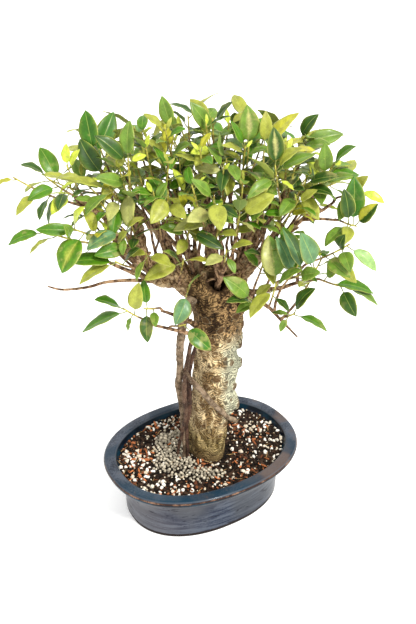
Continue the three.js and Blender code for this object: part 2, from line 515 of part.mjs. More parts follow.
// A leaf chosen by hand: where it points is given as seen from the front
function placedLeaf(curve, [place, heading, lean, length, breadth = 1], key) {
  const h = radians(heading);
  const l = radians(lean);
  const dir = new THREE.Vector3()
    .addScaledVector(SEEN_RIGHT, Math.cos(h) * Math.cos(l))
    .addScaledVector(SEEN_UP, Math.sin(h) * Math.cos(l))
    .addScaledVector(SEEN_NEAR, Math.sin(l));
  const wanted = UP.clone().multiplyScalar(0.8).addScaledVector(SEEN_NEAR, 0.6);
  const face = squareTo(dir, wanted).applyAxisAngle(dir, radians(70 * (drawn(key) - 0.5)));
  return { root: curve.getPoint(0.95 * place), dir, face, length, breadth, key };
}

// A leaf set by rule: a spiral round the twig, wide open below and closer toward the tip
function spiralLeaf(curve, place, turn, key) {
  const along = curve.getTangent(place);
  const upward = UP.clone().addScaledVector(SEEN_NEAR, -0.3);
  const out = squareTo(along, upward).applyAxisAngle(along, turn);
  const open = radians(72 - 34 * place + 20 * (drawn(key + 0.3) - 0.5));
  const dir = along.clone().multiplyScalar(Math.cos(open)).addScaledVector(out, Math.sin(open));
  dir.z -= 0.12;
  dir.normalize();
  const face = squareTo(dir, UP.clone().addScaledVector(along, 0.5));
  face.applyAxisAngle(dir, radians(50 * (drawn(key) - 0.5)));
  const length = 38 + 12 * drawn(key + 0.6);
  return { root: curve.getPoint(0.95 * place), dir, face, length, breadth: 1, key };
}

function turned(leaf, [turn, tip, roll]) {
  const side = leaf.dir.clone().cross(leaf.face);
  const dir = leaf.dir.clone();
  dir.applyAxisAngle(leaf.face, radians(turn)).applyAxisAngle(side, radians(tip));
  const face = squareTo(dir, leaf.face).applyAxisAngle(dir, radians(roll));
  return { ...leaf, dir, face };
}

// Points of a blade: place along it, and how far to the side as a share of its width; the first is on the rib
const BLADE_OUTLINE = [[0.5, 0], [0.3, -0.43], [0.3, 0.43], [0.68, -0.44], [0.68, 0.44]];

// Stalk, then a folded blade that arches over; grow fattens it for the test against its neighbours
function leafSolid({ root, dir, face, length, breadth, key }, grow = 0) {
  const stalk = Math.min(LONGEST_STALK, LEAF_STALK * length);
  const blade = length - stalk;
  const arch = radians(14 + 30 * drawn(key + 0.9));
  const side = dir.clone().cross(face);
  const start = root.clone().addScaledVector(dir, stalk);

  const at = (base, x, y) => base.clone().addScaledVector(side, x).addScaledVector(face, y);
  const onBlade = (place, across, skin) => {
    const bend = arch * place;
    const normal = face.clone().multiplyScalar(Math.cos(bend)).addScaledVector(dir, Math.sin(bend));
    return start.clone()
      .addScaledVector(dir, (blade * Math.sin(bend)) / arch)
      .addScaledVector(face, (-blade * (1 - Math.cos(bend))) / arch)
      .addScaledVector(side, across * Math.cos(LEAF_FOLD))
      .addScaledVector(normal, Math.abs(across) * Math.sin(LEAF_FOLD) + skin);
  };
  const skins = [LEAF_THICKNESS / 2 + grow, -LEAF_THICKNESS / 2 - grow];
  const thin = STALK_RADIUS / 2;
  const thick = STALK_RADIUS + grow;
  const points = [at(root, -thin, thin / 2), at(root, thin, thin / 2), at(root, 0, -thin),
    at(start, -thick, thick / 2), at(start, thick, thick / 2), at(start, 0, -thick)];
  for (const [place, share] of BLADE_OUTLINE) {
    const across = blade * LEAF_WIDTH * breadth * share + grow * Math.sign(share);
    points.push(...skins.map((skin) => onBlade(place, across, skin)));
  }
  points.push(onBlade(1 + grow / blade, 0, 0));
  return solidFrom(points, [
    0, 2, 1, 0, 1, 4, 0, 4, 3, 0, 3, 5, 0, 5, 2, 1, 2, 5, 1, 5, 4, // stalk
    3, 4, 6, 4, 10, 6, 10, 14, 6, 14, 16, 6, 16, 12, 6, 12, 8, 6, 8, 3, 6, // upper face
    5, 3, 7, 4, 5, 7, 11, 4, 7, 15, 11, 7, 16, 15, 7, 13, 16, 7, 9, 13, 7, 3, 9, 7, // lower face
    3, 8, 9, 8, 12, 13, 8, 13, 9, 12, 16, 13, 10, 4, 11, 14, 10, 15, 10, 11, 15, 16, 14, 15, // edges
  ]);
}

function overlaps(a, b) {
  const one = a.boundingBox();
  const two = b.boundingBox();
  const apart = [0, 1, 2].some((i) => one.min[i] > two.max[i] || two.min[i] > one.max[i]);
  return !apart && a.intersect(b).volume() > 1e-6;
}

// A spray's leaves: those chosen by hand and those that follow the spiral
function wantedLeaves({ leaves = [], more, ...ends }, s) {
  const curve = twigCurve(ends);
  const wanted = leaves.map((row, i) => placedLeaf(curve, row, LEAF_KEYS * s + i));
  for (let i = 0; i < more; i++) {
    const place = more > 3 ? 0.2 + (0.8 * i) / (more - 1) : 0.15 + 0.35 * i;
    const turn = SPIRAL_STEP * i + 2 * Math.PI * drawn(s + 0.5);
    wanted.push(spiralLeaf(curve, place, turn, LEAF_KEYS * s + leaves.length + i));
  }
  return wanted;
}

// Every spray, with each leaf at the first turn that clears the wood, the other twigs and earlier leaves
function sprayMeshes(wood) {
  const names = Object.keys(SPRAYS);
  const twigs = names.map((name) => clearTwig(SPRAYS[name], wood));
  const placed = [];
  return names.map((name, s) => {
    const inTheWay = [wood, ...twigs.filter((_, t) => t !== s)];
    const own = [];
    for (const leaf of wantedLeaves(SPRAYS[name], s)) {
      const clear = LEAF_TURNS.map((turn) => turned(leaf, turn)).find((pose) => {
        const fat = leafSolid(pose, FIT_GAP);
        return ![...inTheWay, ...placed].some((other) => overlaps(fat, other));
      });
      if (clear) {
        own.push(leafSolid(clear));
        placed.push(leafSolid(clear, FIT_GAP));
      }
    }
    return meshOf(wasm.Manifold.union([twigs[s], ...own]), `spray_${name}`, 'leaf');
  });
}

// --- Soil -----------------------------------------------------------------------------------------------

// The surface: higher in the middle and toward the trunk, and lumpy
function soilHeight(share, angle) {
  const lumps = Math.sin(7 * angle + 5 * share) + Math.sin(11 * angle - 9 * share);
  const mound = SOIL_MOUND * (1 - share ** 2);
  return SOIL_EDGE_HEIGHT + mound + SOIL_LUMPS * lumps * Math.min(1, 4 * share);
}

// How far the pot's inner wall stands in from the rim at a height
function wallInset(z) {
  const above = INNER_WALL.findLastIndex(([height], i) => i === 0 || height > z);
  const [high, highInset] = INNER_WALL[above];
  const [low, lowInset] = INNER_WALL[above + 1];
  return THREE.MathUtils.mapLinear(z, low, high, lowInset, highInset);
}

// A coarse grain that lies half sunk in the surface
function grainSolid(key, reachX, reachY) {
  const angle = 2 * Math.PI * drawn(key + 0.11);
  const share = 0.32 + 0.58 * Math.sqrt(drawn(key + 0.37));
  const radius = GRAIN_RADIUS + 2 * drawn(key + 0.73);
  const grain = new THREE.OctahedronGeometry(radius);
  grain.rotateX(3 * drawn(key + 0.2)).rotateZ(6 * drawn(key + 0.9));
  const z = soilHeight(share, angle) + 0.15 * radius;
  grain.translate(reachX * share * Math.cos(angle), reachY * share * Math.sin(angle), z);
  return solidFromGeometry(grain);
}

function soilSolid() {
  const clear = 1.5 * FIT_GAP;
  const rings = [FLOOR_THICKNESS + FIT_GAP, INNER_WALL[1][0], SOIL_EDGE_HEIGHT - 3].map((z) =>
    insetOval(wallInset(z) + clear, z));
  const edge = wallInset(SOIL_EDGE_HEIGHT) + 2 * clear;
  const reachX = halfLength - edge;
  const reachY = halfWidth - edge;
  for (let ring = SOIL_RINGS; ring >= 1; ring--) {
    const share = ring / SOIL_RINGS;
    const row = oval(reachX * share, reachY * share, 0);
    rings.push(row.map((point, i) => point.setZ(soilHeight(share, (2 * Math.PI * i) / POT_SIDES))));
  }
  const grains = Array.from({ length: GRAIN_COUNT }, (_, i) => grainSolid(i, reachX, reachY));
  const filling = wasm.Manifold.union([loft(rings), ...grains]);
  return filling.subtract(soilHoles()).subtract(screenRecess());
}

// Plain holes that the trunk and the roots stand in
function soilHoles() {
  const clear = 2 * FIT_GAP;
  const foot = trunkRing(TRUNK_OUTLINE[0], clear);
  const holes = [loft([ROOT_FLOOR - FIT_GAP, SOIL_TOP].map((z) => foot.map((p) => p.clone().setZ(z))))];
  for (const name of ROOTS_IN_SOIL) {
    const [x, y, z, radius] = BRANCHES[name].at(-1);
    const path = [vec([x, y, z - FIT_GAP]), vec([x, y, SOIL_TOP])];
    holes.push(tube(path, [radius + clear, radius + clear], 8));
  }
  return wasm.Manifold.union(holes).rotate([0, 0, THREE.MathUtils.radToDeg(TREE_TURN)]);
}

function screenRecess() {
  const size = SCREEN_SIZE + 2 * FIT_GAP;
  const height = 2 * (SCREEN_THICKNESS + 2 * FIT_GAP);
  return wasm.Manifold.union([-1, 1].map((side) =>
    blockSolid(size, height, side * DRAIN_FROM_MIDDLE, 0, FLOOR_THICKNESS)));
}

// --- The plant in its pot --------------------------------------------------------------------------------

const bonsai = new THREE.Group();
bonsai.add(meshOf(potSolid(), 'pot', 'glaze'));
bonsai.add(meshOf(soilSolid(), 'soil', 'soil'));
bonsai.add(meshOf(screenSolid(-1), 'drain_screen_left', 'screen'));
bonsai.add(meshOf(screenSolid(1), 'drain_screen_right', 'screen'));

const tree = new THREE.Group();
tree.rotation.z = TREE_TURN;
const wood = woodSolid();
tree.add(meshOf(wood, 'wood', 'bark'));
tree.add(...sprayMeshes(wood));
bonsai.add(tree);

export default bonsai;
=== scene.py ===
import math

import bpy
import numpy as np
from mathutils import Matrix, Vector, kdtree, noise


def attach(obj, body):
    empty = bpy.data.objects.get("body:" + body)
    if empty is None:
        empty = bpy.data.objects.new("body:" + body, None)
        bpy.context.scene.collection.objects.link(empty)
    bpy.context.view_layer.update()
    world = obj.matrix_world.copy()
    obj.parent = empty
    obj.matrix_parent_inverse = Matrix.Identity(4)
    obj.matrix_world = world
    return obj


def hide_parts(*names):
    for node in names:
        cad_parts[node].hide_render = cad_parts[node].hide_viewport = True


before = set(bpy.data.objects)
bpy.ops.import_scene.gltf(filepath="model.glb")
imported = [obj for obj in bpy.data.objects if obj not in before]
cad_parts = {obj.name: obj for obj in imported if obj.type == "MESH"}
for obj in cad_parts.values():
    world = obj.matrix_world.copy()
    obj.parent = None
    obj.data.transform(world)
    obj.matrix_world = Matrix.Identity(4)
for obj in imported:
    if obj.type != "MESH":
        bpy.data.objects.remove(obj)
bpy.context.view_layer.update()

# The tree is laid out in millimetres in its own frame: x to the right and y away from the camera.
# The pot's long axis stands at an angle to that, and the part's frame is the pot's.
tree = {
    "turn": -30.56,       # degrees, from the tree's frame to the part's
    "viewPitch": 29.5,    # degrees that the camera looks down
}
mm = 0.001
treeTurn = Matrix.Rotation(math.radians(tree["turn"]), 3, "Z")
pitch = math.radians(tree["viewPitch"])
up = Vector((0, 0, 1))
seenRight = Vector((1, 0, 0))
seenUp = Vector((0, math.sin(pitch), math.cos(pitch)))
seenNear = Vector((0, -math.cos(pitch), math.sin(pitch)))


def inPart(point):
    return treeTurn @ Vector(point) * mm


def onScene(name, data):    # a new object for a mesh, a light or a camera
    piece = bpy.data.objects.new(name, data)
    bpy.context.scene.collection.objects.link(piece)
    return piece


def drawn(key):    # a number from 0 to 1 that depends only on the key
    wave = math.sin(key * 12.9898 + 4.1414) * 43758.5453
    return wave - math.floor(wave)


def smoothStep(value, low, high):
    share = np.clip((value - low) / (high - low), 0, 1)
    return share * share * (3 - 2 * share)


# ---- nodes


class Link:    # a node's output that can be used in sums, and the way to add any node
    def __init__(self, nodes, socket=None):
        self.nodes = nodes
        self.socket = socket

    def add(self, kind, settings=None, values=None, out=0):
        node = self.nodes.nodes.new(kind)
        for name, setting in (settings or {}).items():
            setattr(node, name, setting)
        for name, value in (values or {}).items():
            self.give(value, node.inputs[name])
        return Link(self.nodes, node.outputs[out])

    def give(self, value, socket):
        if isinstance(value, Link):
            self.nodes.links.new(value.socket, socket)
        elif socket.type == "RGBA" and len(value) == 3:
            socket.default_value = (*value, 1)
        else:
            socket.default_value = value

    def into(self, socket):
        self.nodes.links.new(self.socket, socket)

    def sum(self, operation, *others):
        return self.add("ShaderNodeMath", {"operation": operation}, dict(enumerate((self, *others))))

    def __add__(self, other):
        return self.sum("ADD", other)

    __radd__ = __add__

    def __sub__(self, other):
        return self.sum("SUBTRACT", other)

    def __rsub__(self, other):
        return self.add("ShaderNodeMath", {"operation": "SUBTRACT"}, {0: other, 1: self})

    def __mul__(self, other):
        return self.sum("MULTIPLY", other)

    __rmul__ = __mul__

    def __truediv__(self, other):
        return self.sum("DIVIDE", other)

    def __rtruediv__(self, other):
        return self.add("ShaderNodeMath", {"operation": "DIVIDE"}, {0: other, 1: self})

    def __pow__(self, other):
        return self.sum("POWER", other)

    def steps(self, low, high):    # 0 below low, 1 above high, smooth between
        values = {"Value": self, "From Min": low, "From Max": high}
        return self.add("ShaderNodeMapRange", {"interpolation_type": "SMOOTHSTEP"}, values)

    def blend(self, low, high):    # this value mixes two colours
        return self.add("ShaderNodeMix", {"data_type": "RGBA"}, {0: self, 6: low, 7: high}, 2)

    def arrow(self, operation, *others):    # sums of vectors
        return self.add("ShaderNodeVectorMath", {"operation": operation}, dict(enumerate((self, *others))))

    def longer(self, size):
        return self.add("ShaderNodeVectorMath", {"operation": "SCALE"}, {0: self, "Scale": size})

    def stretch(self, x, y, z):
        return self.arrow("MULTIPLY", (x, y, z))

    def axis(self, index):    # x, y or z of a vector
        return self.add("ShaderNodeSeparateXYZ", None, {0: self}, index)

    def named(self, name, kind="FLOAT"):    # in a geometry tree, a value kept at the points
        return self.add("GeometryNodeInputNamedAttribute", {"data_type": kind}, {"Name": name})

    def store(self, name, value):    # this geometry, with a value kept at its points
        return self.add("GeometryNodeStoreNamedAttribute", {"data_type": "FLOAT", "domain": "POINT"},
                        {"Geometry": self, "Name": name, "Value": value})

    def onPoints(self, points, **values):    # this geometry at every point
        return self.add("GeometryNodeInstanceOnPoints", None, {"Points": points, "Instance": self, **values})

    def real(self):
        return self.add("GeometryNodeRealizeInstances", None, {"Geometry": self})

    def painted(self, look):
        return self.add("GeometryNodeSetMaterial", None, {"Geometry": self, "Material": look})

    def joined(self, other):
        both = self.add("GeometryNodeJoinGeometry")
        self.into(both.socket.node.inputs[0])
        other.into(both.socket.node.inputs[0])
        return both

    def result(self, label):    # the end of a geometry tree
        self.into(self.nodes.nodes.new("NodeGroupOutput").inputs[label])
        return self.nodes

    def grain(self, size, detail=3, roughness=0.55, twist=0):    # noise with features of a size in mm
        values = {"Vector": self, "Scale": 1 / size, "Detail": detail, "Roughness": roughness,
                  "Distortion": twist}
        return self.add("ShaderNodeTexNoise", None, values)


class Finish:    # a new material, with its Principled shader and the place on the object in mm
    def __init__(self, name, **constants):
        self.material = bpy.data.materials.new(name)
        self.material.use_nodes = True
        nodes = self.material.node_tree
        self.shader = nodes.nodes["Principled BSDF"]
        self.start = Link(nodes)
        self.place = self.start.add("ShaderNodeTexCoord", out="Object").longer(1000)
        for name, value in constants.items():
            self.shader.inputs[name.replace("_", " ")].default_value = value

    def read(self, *names, out="Fac"):    # values kept at the points of the piece
        return [self.start.add("ShaderNodeAttribute", {"attribute_name": name}, None, out) for name in names]

    def set(self, name, link):
        link.into(self.shader.inputs[name])

    def bump(self, height, size, strength=1.0):    # size is the relief's depth in mm
        values = {"Strength": strength, "Distance": size * mm, "Height": height}
        self.start.add("ShaderNodeBump", None, values).into(self.shader.inputs["Normal"])


# ---- meshes


def keepValues(mesh, values):    # named numbers or vectors at the mesh's points
    for name, rows in values.items():
        flat = np.array(rows, np.float32)
        layer = mesh.attributes.new(name, "FLOAT" if flat.ndim == 1 else "FLOAT_VECTOR", "POINT")
        layer.data.foreach_set("value" if flat.ndim == 1 else "vector", flat.ravel())


class Clay:    # points, faces and values at the points of one piece, in the tree's millimetres
    def __init__(self):
        self.points = []
        self.faces = []
        self.values = {}

    def mark(self, count, **values):
        for name, value in values.items():
            self.values.setdefault(name, []).extend([value] * count)

    # a round piece along rows of x, y, z, radius, with lumps up to a share of the radius, of a size in mm
    def tube(self, path, sides, rough=0, roughSize=6, **values):
        first = len(self.points)
        centres = [Vector(row[:3]) for row in path]
        last = len(centres) - 1
        across = None
        for i, centre in enumerate(centres):
            along = (centres[min(i + 1, last)] - centres[max(i - 1, 0)]).normalized()
            across = along.orthogonal() if across is None else across - along * across.dot(along)
            across.normalize()
            beside = along.cross(across)
            for k in range(sides):
                angle = 2 * math.pi * k / sides
                out = across * math.cos(angle) + beside * math.sin(angle)
                point = centre + out * path[i][3]
                lump = noise.noise(point / roughSize) if rough else 0
                self.points.append(centre + out * path[i][3] * (1 + rough * lump))
            self.mark(sides, **{name: value[i] if hasattr(value, "__len__") else value
                                for name, value in values.items()})
        self.skin(first, sides, last)

    def rings(self, rings, closed=True):    # rings of equal count, counter-clockwise seen from the last
        first = len(self.points)
        self.points.extend(Vector(point) for ring in rings for point in ring)
        self.skin(first, len(rings[0]), len(rings) - 1, closed)

    def skin(self, first, sides, bands, closed=True):    # faces between rings of points, and over both ends
        for i in range(bands):
            for k in range(sides):
                a = first + i * sides + k
                b = first + i * sides + (k + 1) % sides
                self.faces.append((a, b, b + sides, a + sides))
        if closed:
            self.faces.append(tuple(first + k for k in reversed(range(sides))))
            self.faces.append(tuple(first + bands * sides + k for k in range(sides)))

    def made(self, name, turned=True):
        mesh = bpy.data.meshes.new(name)
        points = [inPart(point) if turned else point * mm for point in self.points]
        mesh.from_pydata(points, [], self.faces)
        keepValues(mesh, self.values)
        return onScene(name, mesh)


def settle(piece):    # the piece as its modifiers leave it, as a plain mesh
    bpy.context.view_layer.update()
    seen = piece.evaluated_get(bpy.context.evaluated_depsgraph_get())
    mesh = bpy.data.meshes.new_from_object(seen)
    piece.modifiers.clear()
    piece.data = mesh


def newTree(name, result, **sockets):    # a geometry tree's named inputs, and a start for its nodes
    sockets = {label.replace("_", " "): kind for label, kind in sockets.items()}
    nodes = bpy.data.node_groups.new(name, "GeometryNodeTree")
    for label, kind in sockets.items():
        nodes.interface.new_socket(label, in_out="INPUT", socket_type="NodeSocket" + kind)
    nodes.interface.new_socket(result, in_out="OUTPUT", socket_type="NodeSocketGeometry")
    enter = nodes.nodes.new("NodeGroupInput")
    return {label: Link(nodes, enter.outputs[label]) for label in sockets}, Link(nodes)


def grow(piece, nodes, values):    # the piece becomes what a geometry tree makes of it
    modifier = piece.modifiers.new(nodes.name, "NODES")
    modifier.node_group = nodes
    for socket in nodes.interface.items_tree:
        if socket.in_out == "INPUT" and socket.name in values:
            modifier[socket.identifier] = values[socket.name]
    settle(piece)


def finished(piece, material=None, smooth=True, nodes=()):    # smoothed, painted and put on the body
    mesh = piece.data
    if material:
        mesh.materials.clear()
        mesh.materials.append(material)
    mesh.polygons.foreach_set("use_smooth", [smooth] * len(mesh.polygons))
    mesh.update()
    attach(piece, "root")
    if nodes:
        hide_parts(*nodes)


def smoothed(rows, step):    # a curve through rows of x, y, z, radius, with a row about every step
    rows = np.array(rows, float)
    ends = np.vstack([2 * rows[0] - rows[1], rows, 2 * rows[-1] - rows[-2]])
    path = []
    for a, b, c, d in zip(ends, ends[1:], ends[2:], ends[3:]):
        count = max(2, round(np.linalg.norm(c[:3] - b[:3]) / step))
        for t in np.arange(count) / count:
            path.append(0.5 * (2 * b + (c - a) * t + (2 * a - 5 * b + 4 * c - d) * t ** 2
                               + (3 * b - a - 3 * c + d) * t ** 3))
    path.append(rows[-1])
    return np.array(path)


# ---- pot

pot = {
    "length": 252, "width": 198, "height": 77,
    "ovalPower": 2.25,        # 2 is an ellipse, more is squarer
    "lipWidth": 14.6, "lipDrop": 9.5, "lipRound": 2,
    # height, inset from the rim and corner radius
    "outside": ((0, 26, 1), (3, 25, 1.5), (40, 24, 14), (56, 18.5, 9), (66, 12, 2)),
    "inside": ((69, 18, 4), (58, 25, 8), (8, 32, 6)),
    "underside": 37, "floor": 44,    # inset of the flats that close the underside and the floor
    "drainRadius": 9, "drainFromMiddle": 46,
    "sides": 200,
}


def ovalRing(halfLength, halfWidth, z, sides):
    angles = np.arange(sides) * 2 * math.pi / sides
    power = 2 / pot["ovalPower"]
    x = halfLength * np.sign(np.cos(angles)) * np.abs(np.cos(angles)) ** power
    y = halfWidth * np.sign(np.sin(angles)) * np.abs(np.sin(angles)) ** power
    return [Vector((a, b, z)) for a, b in zip(x, y)]


def rounded(corners):    # rows of values with a corner radius at the end, every corner drawn as an arc
    path = []
    for before, here, after in zip([corners[0]] + corners, corners, corners[1:] + [corners[-1]]):
        radius = here[-1]
        a, b, c = (np.array(row[:-1], float) for row in (before, here, after))
        if radius == 0:
            path.append(b)
            continue
        start = b + (a - b) * min(0.45, radius / max(np.linalg.norm(a - b), 1e-6))
        end = b + (c - b) * min(0.45, radius / max(np.linalg.norm(c - b), 1e-6))
        for t in np.linspace(0, 1, 6):
            path.append(start * (1 - t) ** 2 + 2 * b * t * (1 - t) + end * t ** 2)
    return path


def potProfile():    # inset and height: up from the foot, over the lip and down to the floor
    top, lip = pot["height"], pot["height"] - pot["lipDrop"]
    wall = [(inset, z, corner) for z, inset, corner in pot["outside"]]
    rim = [(0.75 * pot["lipRound"], lip + 1.5, 1.2), (0, top - 4, 2), (pot["lipRound"], top, 2),
           (0.5 * pot["lipWidth"], top + 0.2, 3), (pot["lipWidth"], top, 2.2)]
    inner = [(inset, z, corner) for z, inset, corner in pot["inside"]]
    return rounded([(pot["underside"], 0, 0)] + wall + rim + inner + [(pot["floor"], inner[-1][1], 0)])


def makePot():
    clay = Clay()
    halfLength, halfWidth = pot["length"] / 2, pot["width"] / 2
    clay.rings([ovalRing(halfLength - inset, halfWidth - inset, z, pot["sides"])
                for inset, z in potProfile()])
    piece = clay.made("pot", turned=False)
    drain = Clay()
    for side in (-1, 1):
        middle = side * pot["drainFromMiddle"]
        drain.tube([(middle, 0, -5, pot["drainRadius"]), (middle, 0, 20, pot["drainRadius"])], 40)
    cutter = drain.made("drainHoles", turned=False)
    cut = piece.modifiers.new("drain", "BOOLEAN")
    cut.object = cutter
    cut.solver = "EXACT"
    settle(piece)
    bpy.data.objects.remove(cutter)
    # walls and lip are smooth, and the flat underside and the holes keep their edges
    finished(piece, glazeFinish(), nodes=["pot"])
    piece.data.set_sharp_from_angle(angle=math.radians(40))
    print("pot made")


glazeTones = {
    "top": (0.062, 0.074, 0.098), "topDark": (0.009, 0.014, 0.025), "topBrown": (0.10, 0.068, 0.055),
    "topBlue": (0.012, 0.03, 0.052), "topTeal": (0.006, 0.034, 0.062),
    "wall": (0.062, 0.076, 0.104), "wallDark": (0.006, 0.012, 0.032), "wallGrey": (0.06, 0.066, 0.074),
    # the wall's pale tone is a painted reflection of light on the wall's left
    "wallLitLeft": (0.15, 0.14, 0.145), "brushMark": (0.004, 0.005, 0.012),
    # the band is glaze pooled under the lip and partly painted shade there
    # the thin tone is partly a painted highlight along the lip's upper edge
    "band": (0.001, 0.004, 0.009), "teal": (0.003, 0.026, 0.046), "thin": (0.075, 0.085, 0.1),
    "brownDark": (0.03, 0.011, 0.006), "brownGlint": (0.26, 0.145, 0.09), "worn": (0.10, 0.07, 0.055),
    "clay": (0.012, 0.007, 0.006),
}


def glazeFinish():
    glaze = Finish("blue glaze", Coat_Weight=0.12, Coat_Roughness=0.05, Specular_IOR_Level=0.1)
    place = glaze.place
    x, y, z = (place.axis(index) for index in (0, 1, 2))
    high = pot["height"]
    lip = high - pot["lipDrop"]
    drift = place.grain(26, 4)
    fine = place.grain(2.2, 4)
    streaks = place.stretch(0.012, 0.012, 0.13).grain(1, 4, 0.6, 1.0)
    brush = place.stretch(0.04, 0.04, 0.16).grain(1, 3, 0.6, 1.0)
    # how far a place lies to the right and to the front, as the camera sees it
    across = (x * 0.86 - y * 0.51) / 100 + (drift - 0.5) * 0.8
    front = (y * -0.86 - x * 0.51) / 100 + (drift - 0.5) * 0.5
    # the top of the lip, mottled, browner to the right where the glaze runs thin, and teal in front
    top = (drift * 0.55 + fine * 0.45).steps(0.4, 0.62)
    top = top.blend(glazeTones["top"], glazeTones["topDark"])
    thinned = place.grain(40, 3).steps(0.44, 0.58) * across.steps(-0.4, 0.6) * 0.8
    top = thinned.blend(top, glazeTones["topBrown"])
    top = (place.grain(55, 2).steps(0.52, 0.62) * 0.7).blend(top, glazeTones["topBlue"])
    top = (front.steps(0.55, 0.95) * 0.6).blend(top, glazeTones["topTeal"])
    # the wall, with streaks from the turning
    wall = (streaks * 0.85 + fine * 0.15).steps(0.42, 0.58)
    wall = wall.blend(glazeTones["wall"], glazeTones["wallDark"])
    wall = (place.grain(60, 2).steps(0.42, 0.62) * 0.6).blend(wall, glazeTones["wallGrey"])
    # the wall is paler on the left, a painted reflection of light, and darker on the right, painted shade
    wall = ((1 - across.steps(-1, 0.3)) * 0.45).blend(wall, glazeTones["wallLitLeft"])
    wall = (across.steps(-0.2, 1) * 0.4).blend(wall, wall.longer(0.7))
    wall = (brush.steps(0.6, 0.66) * 0.8).blend(wall, glazeTones["brushMark"])
    # glaze gathers in a dark blue band under the lip, with a wavy lower edge;
    # the band is also painted shade under the overhang of the lip
    run = z + (place.stretch(1, 1, 0.1).grain(16, 2) - 0.5) * 12
    wall = run.steps(lip - 14, lip - 6).blend(wall, glazeTones["band"])
    wall = (run.steps(lip - 5, lip - 2) * place.grain(30, 1).steps(0.5, 0.64)).blend(wall, glazeTones["teal"])
    colour = z.steps(lip - 0.4, lip + 0.6).blend(wall, top)
    # the outer face of the lip is deep blue to teal, and its upper edge is paler where the glaze thins,
    # with a painted highlight along it
    face = drift.steps(0.42, 0.66).blend(glazeTones["band"], glazeTones["teal"])
    onFace = z.steps(lip + 0.8, lip + 2.2) * (1 - z.steps(high - 2.6, high - 1.2))
    thin = z.steps(high - 2.7, high - 1.7) * (1 - z.steps(high - 0.6, high - 0.1))
    colour = onFace.blend(colour, face)
    # this pale line is partly a painted highlight
    colour = (thin * (0.2 + fine.steps(0.3, 0.5) * 0.3)).blend(colour, glazeTones["thin"])
    # it breaks brown along the lip's outer edge, with paler painted glints on the brown, and the foot is bare
    ragged = (place.grain(5, 3) - 0.5) * 1.6
    rim = z + ragged * 0.5 - high
    outer = (x * x / (pot["length"] / 2) ** 2 + y * y / (pot["width"] / 2) ** 2).steps(0.86, 0.9)
    edge = rim.steps(-4.0, -3.4) * (1 - rim.steps(-2.2, -1.5)) * outer
    glints = place.grain(16, 3).steps(0.5, 0.66) * (0.5 + fine.steps(0.4, 0.6) * 0.5)
    brown = glints.blend(glazeTones["brownDark"], glazeTones["brownGlint"])
    colour = (edge * 0.95).blend(colour, brown)
    rimTop = z.steps(high - 0.5, high + 0.05) * place.grain(7, 4).steps(0.58, 0.75)
    colour = (rimTop * 0.35).blend(colour, glazeTones["worn"])
    bare = 1 - (z + ragged * 1.2).steps(4.6, 6)
    colour = bare.blend(colour, glazeTones["clay"])
    glaze.set("Base Color", colour)
    glaze.set("Roughness", 0.24 + streaks * 0.12 + bare * 0.5 + edge * 0.15)
    glaze.bump(streaks * 0.8 + fine * 0.25 + bare * place.grain(1.2, 3), 0.35, 0.5)
    return glaze.material


def dressScreens():
    net = Finish("drain net", Roughness=0.6)
    mottle = net.place.grain(3, 3).steps(0.35, 0.7)
    net.set("Base Color", mottle.blend((0.012, 0.012, 0.013), (0.03, 0.03, 0.032)))
    net.bump(net.place.grain(0.8, 2), 0.1, 0.4)
    for name in ("drain_screen_left", "drain_screen_right"):
        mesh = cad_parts[name].data
        mesh.materials.clear()
        mesh.materials.append(net.material)


# ---- soil

soil = {
    "edgeHeight": 68, "mound": 3.5, "edgeInset": 19.4,
    "rings": 70, "sides": 220,
    "lumps": 1.3,             # height of the small lumps
    "side": ((32.5, 8.3), (25.6, 58)),    # inset and height, from the bottom up
    "tones": ((0.003, 0.0025, 0.0022), (0.016, 0.011, 0.008)), "fleck": (0.06, 0.032, 0.016),
    "trunk": (14, -6, 20),    # middle and reach of the trunk, kept clear of grains
    # middle and reach of the heaps of feed pellets, and of the places with much perlite
    "pile": ((-38, 4, 28, 38), (-32, -34, 34, 24), (0, -52, 34, 13)),
    "perlite": ((-84, -30, 30, 46), (-44, -80, 48, 18), (92, 0, 20, 40), (70, 44, 30, 20),
                (34, -70, 30, 10), (-30, 56, 50, 22)),
    "pileHeight": 2.5,
}
soilReach = (pot["length"] / 2 - soil["edgeInset"], pot["width"] / 2 - soil["edgeInset"])


def soilMound(x, y):    # height of the surface at a place in the pot's frame
    a, b = soilReach
    share = min(1, math.hypot(x / a, y / b))
    height = soil["edgeHeight"] + soil["mound"] * (1 - share ** 2)
    bumps = noise.noise(Vector((x, y, 0)) / 9) + 0.6 * noise.noise(Vector((x, y, 5)) / 4)
    lumps = soil["lumps"] * bumps * (1 - smoothStep(share, 0.93, 1))
    return height + lumps + soil["pileHeight"] * heap(x, y, "pile")


def heap(x, y, what):    # 1 in the middle of the soil's places of that name, 0 outside them
    seen = treeTurn.transposed() @ Vector((x, y, 0))
    found = 0
    for middleX, middleY, reachX, reachY in soil[what]:
        away = math.hypot((seen.x - middleX) / reachX, (seen.y - middleY) / reachY)
        found = max(found, 1 - away)
    return max(0, min(1, found * 1.6))


def nearTrunk(x, y):
    seen = treeTurn.transposed() @ Vector((x, y, 0))
    middleX, middleY, reach = soil["trunk"]
    return math.hypot(seen.x - middleX, seen.y - middleY) < reach


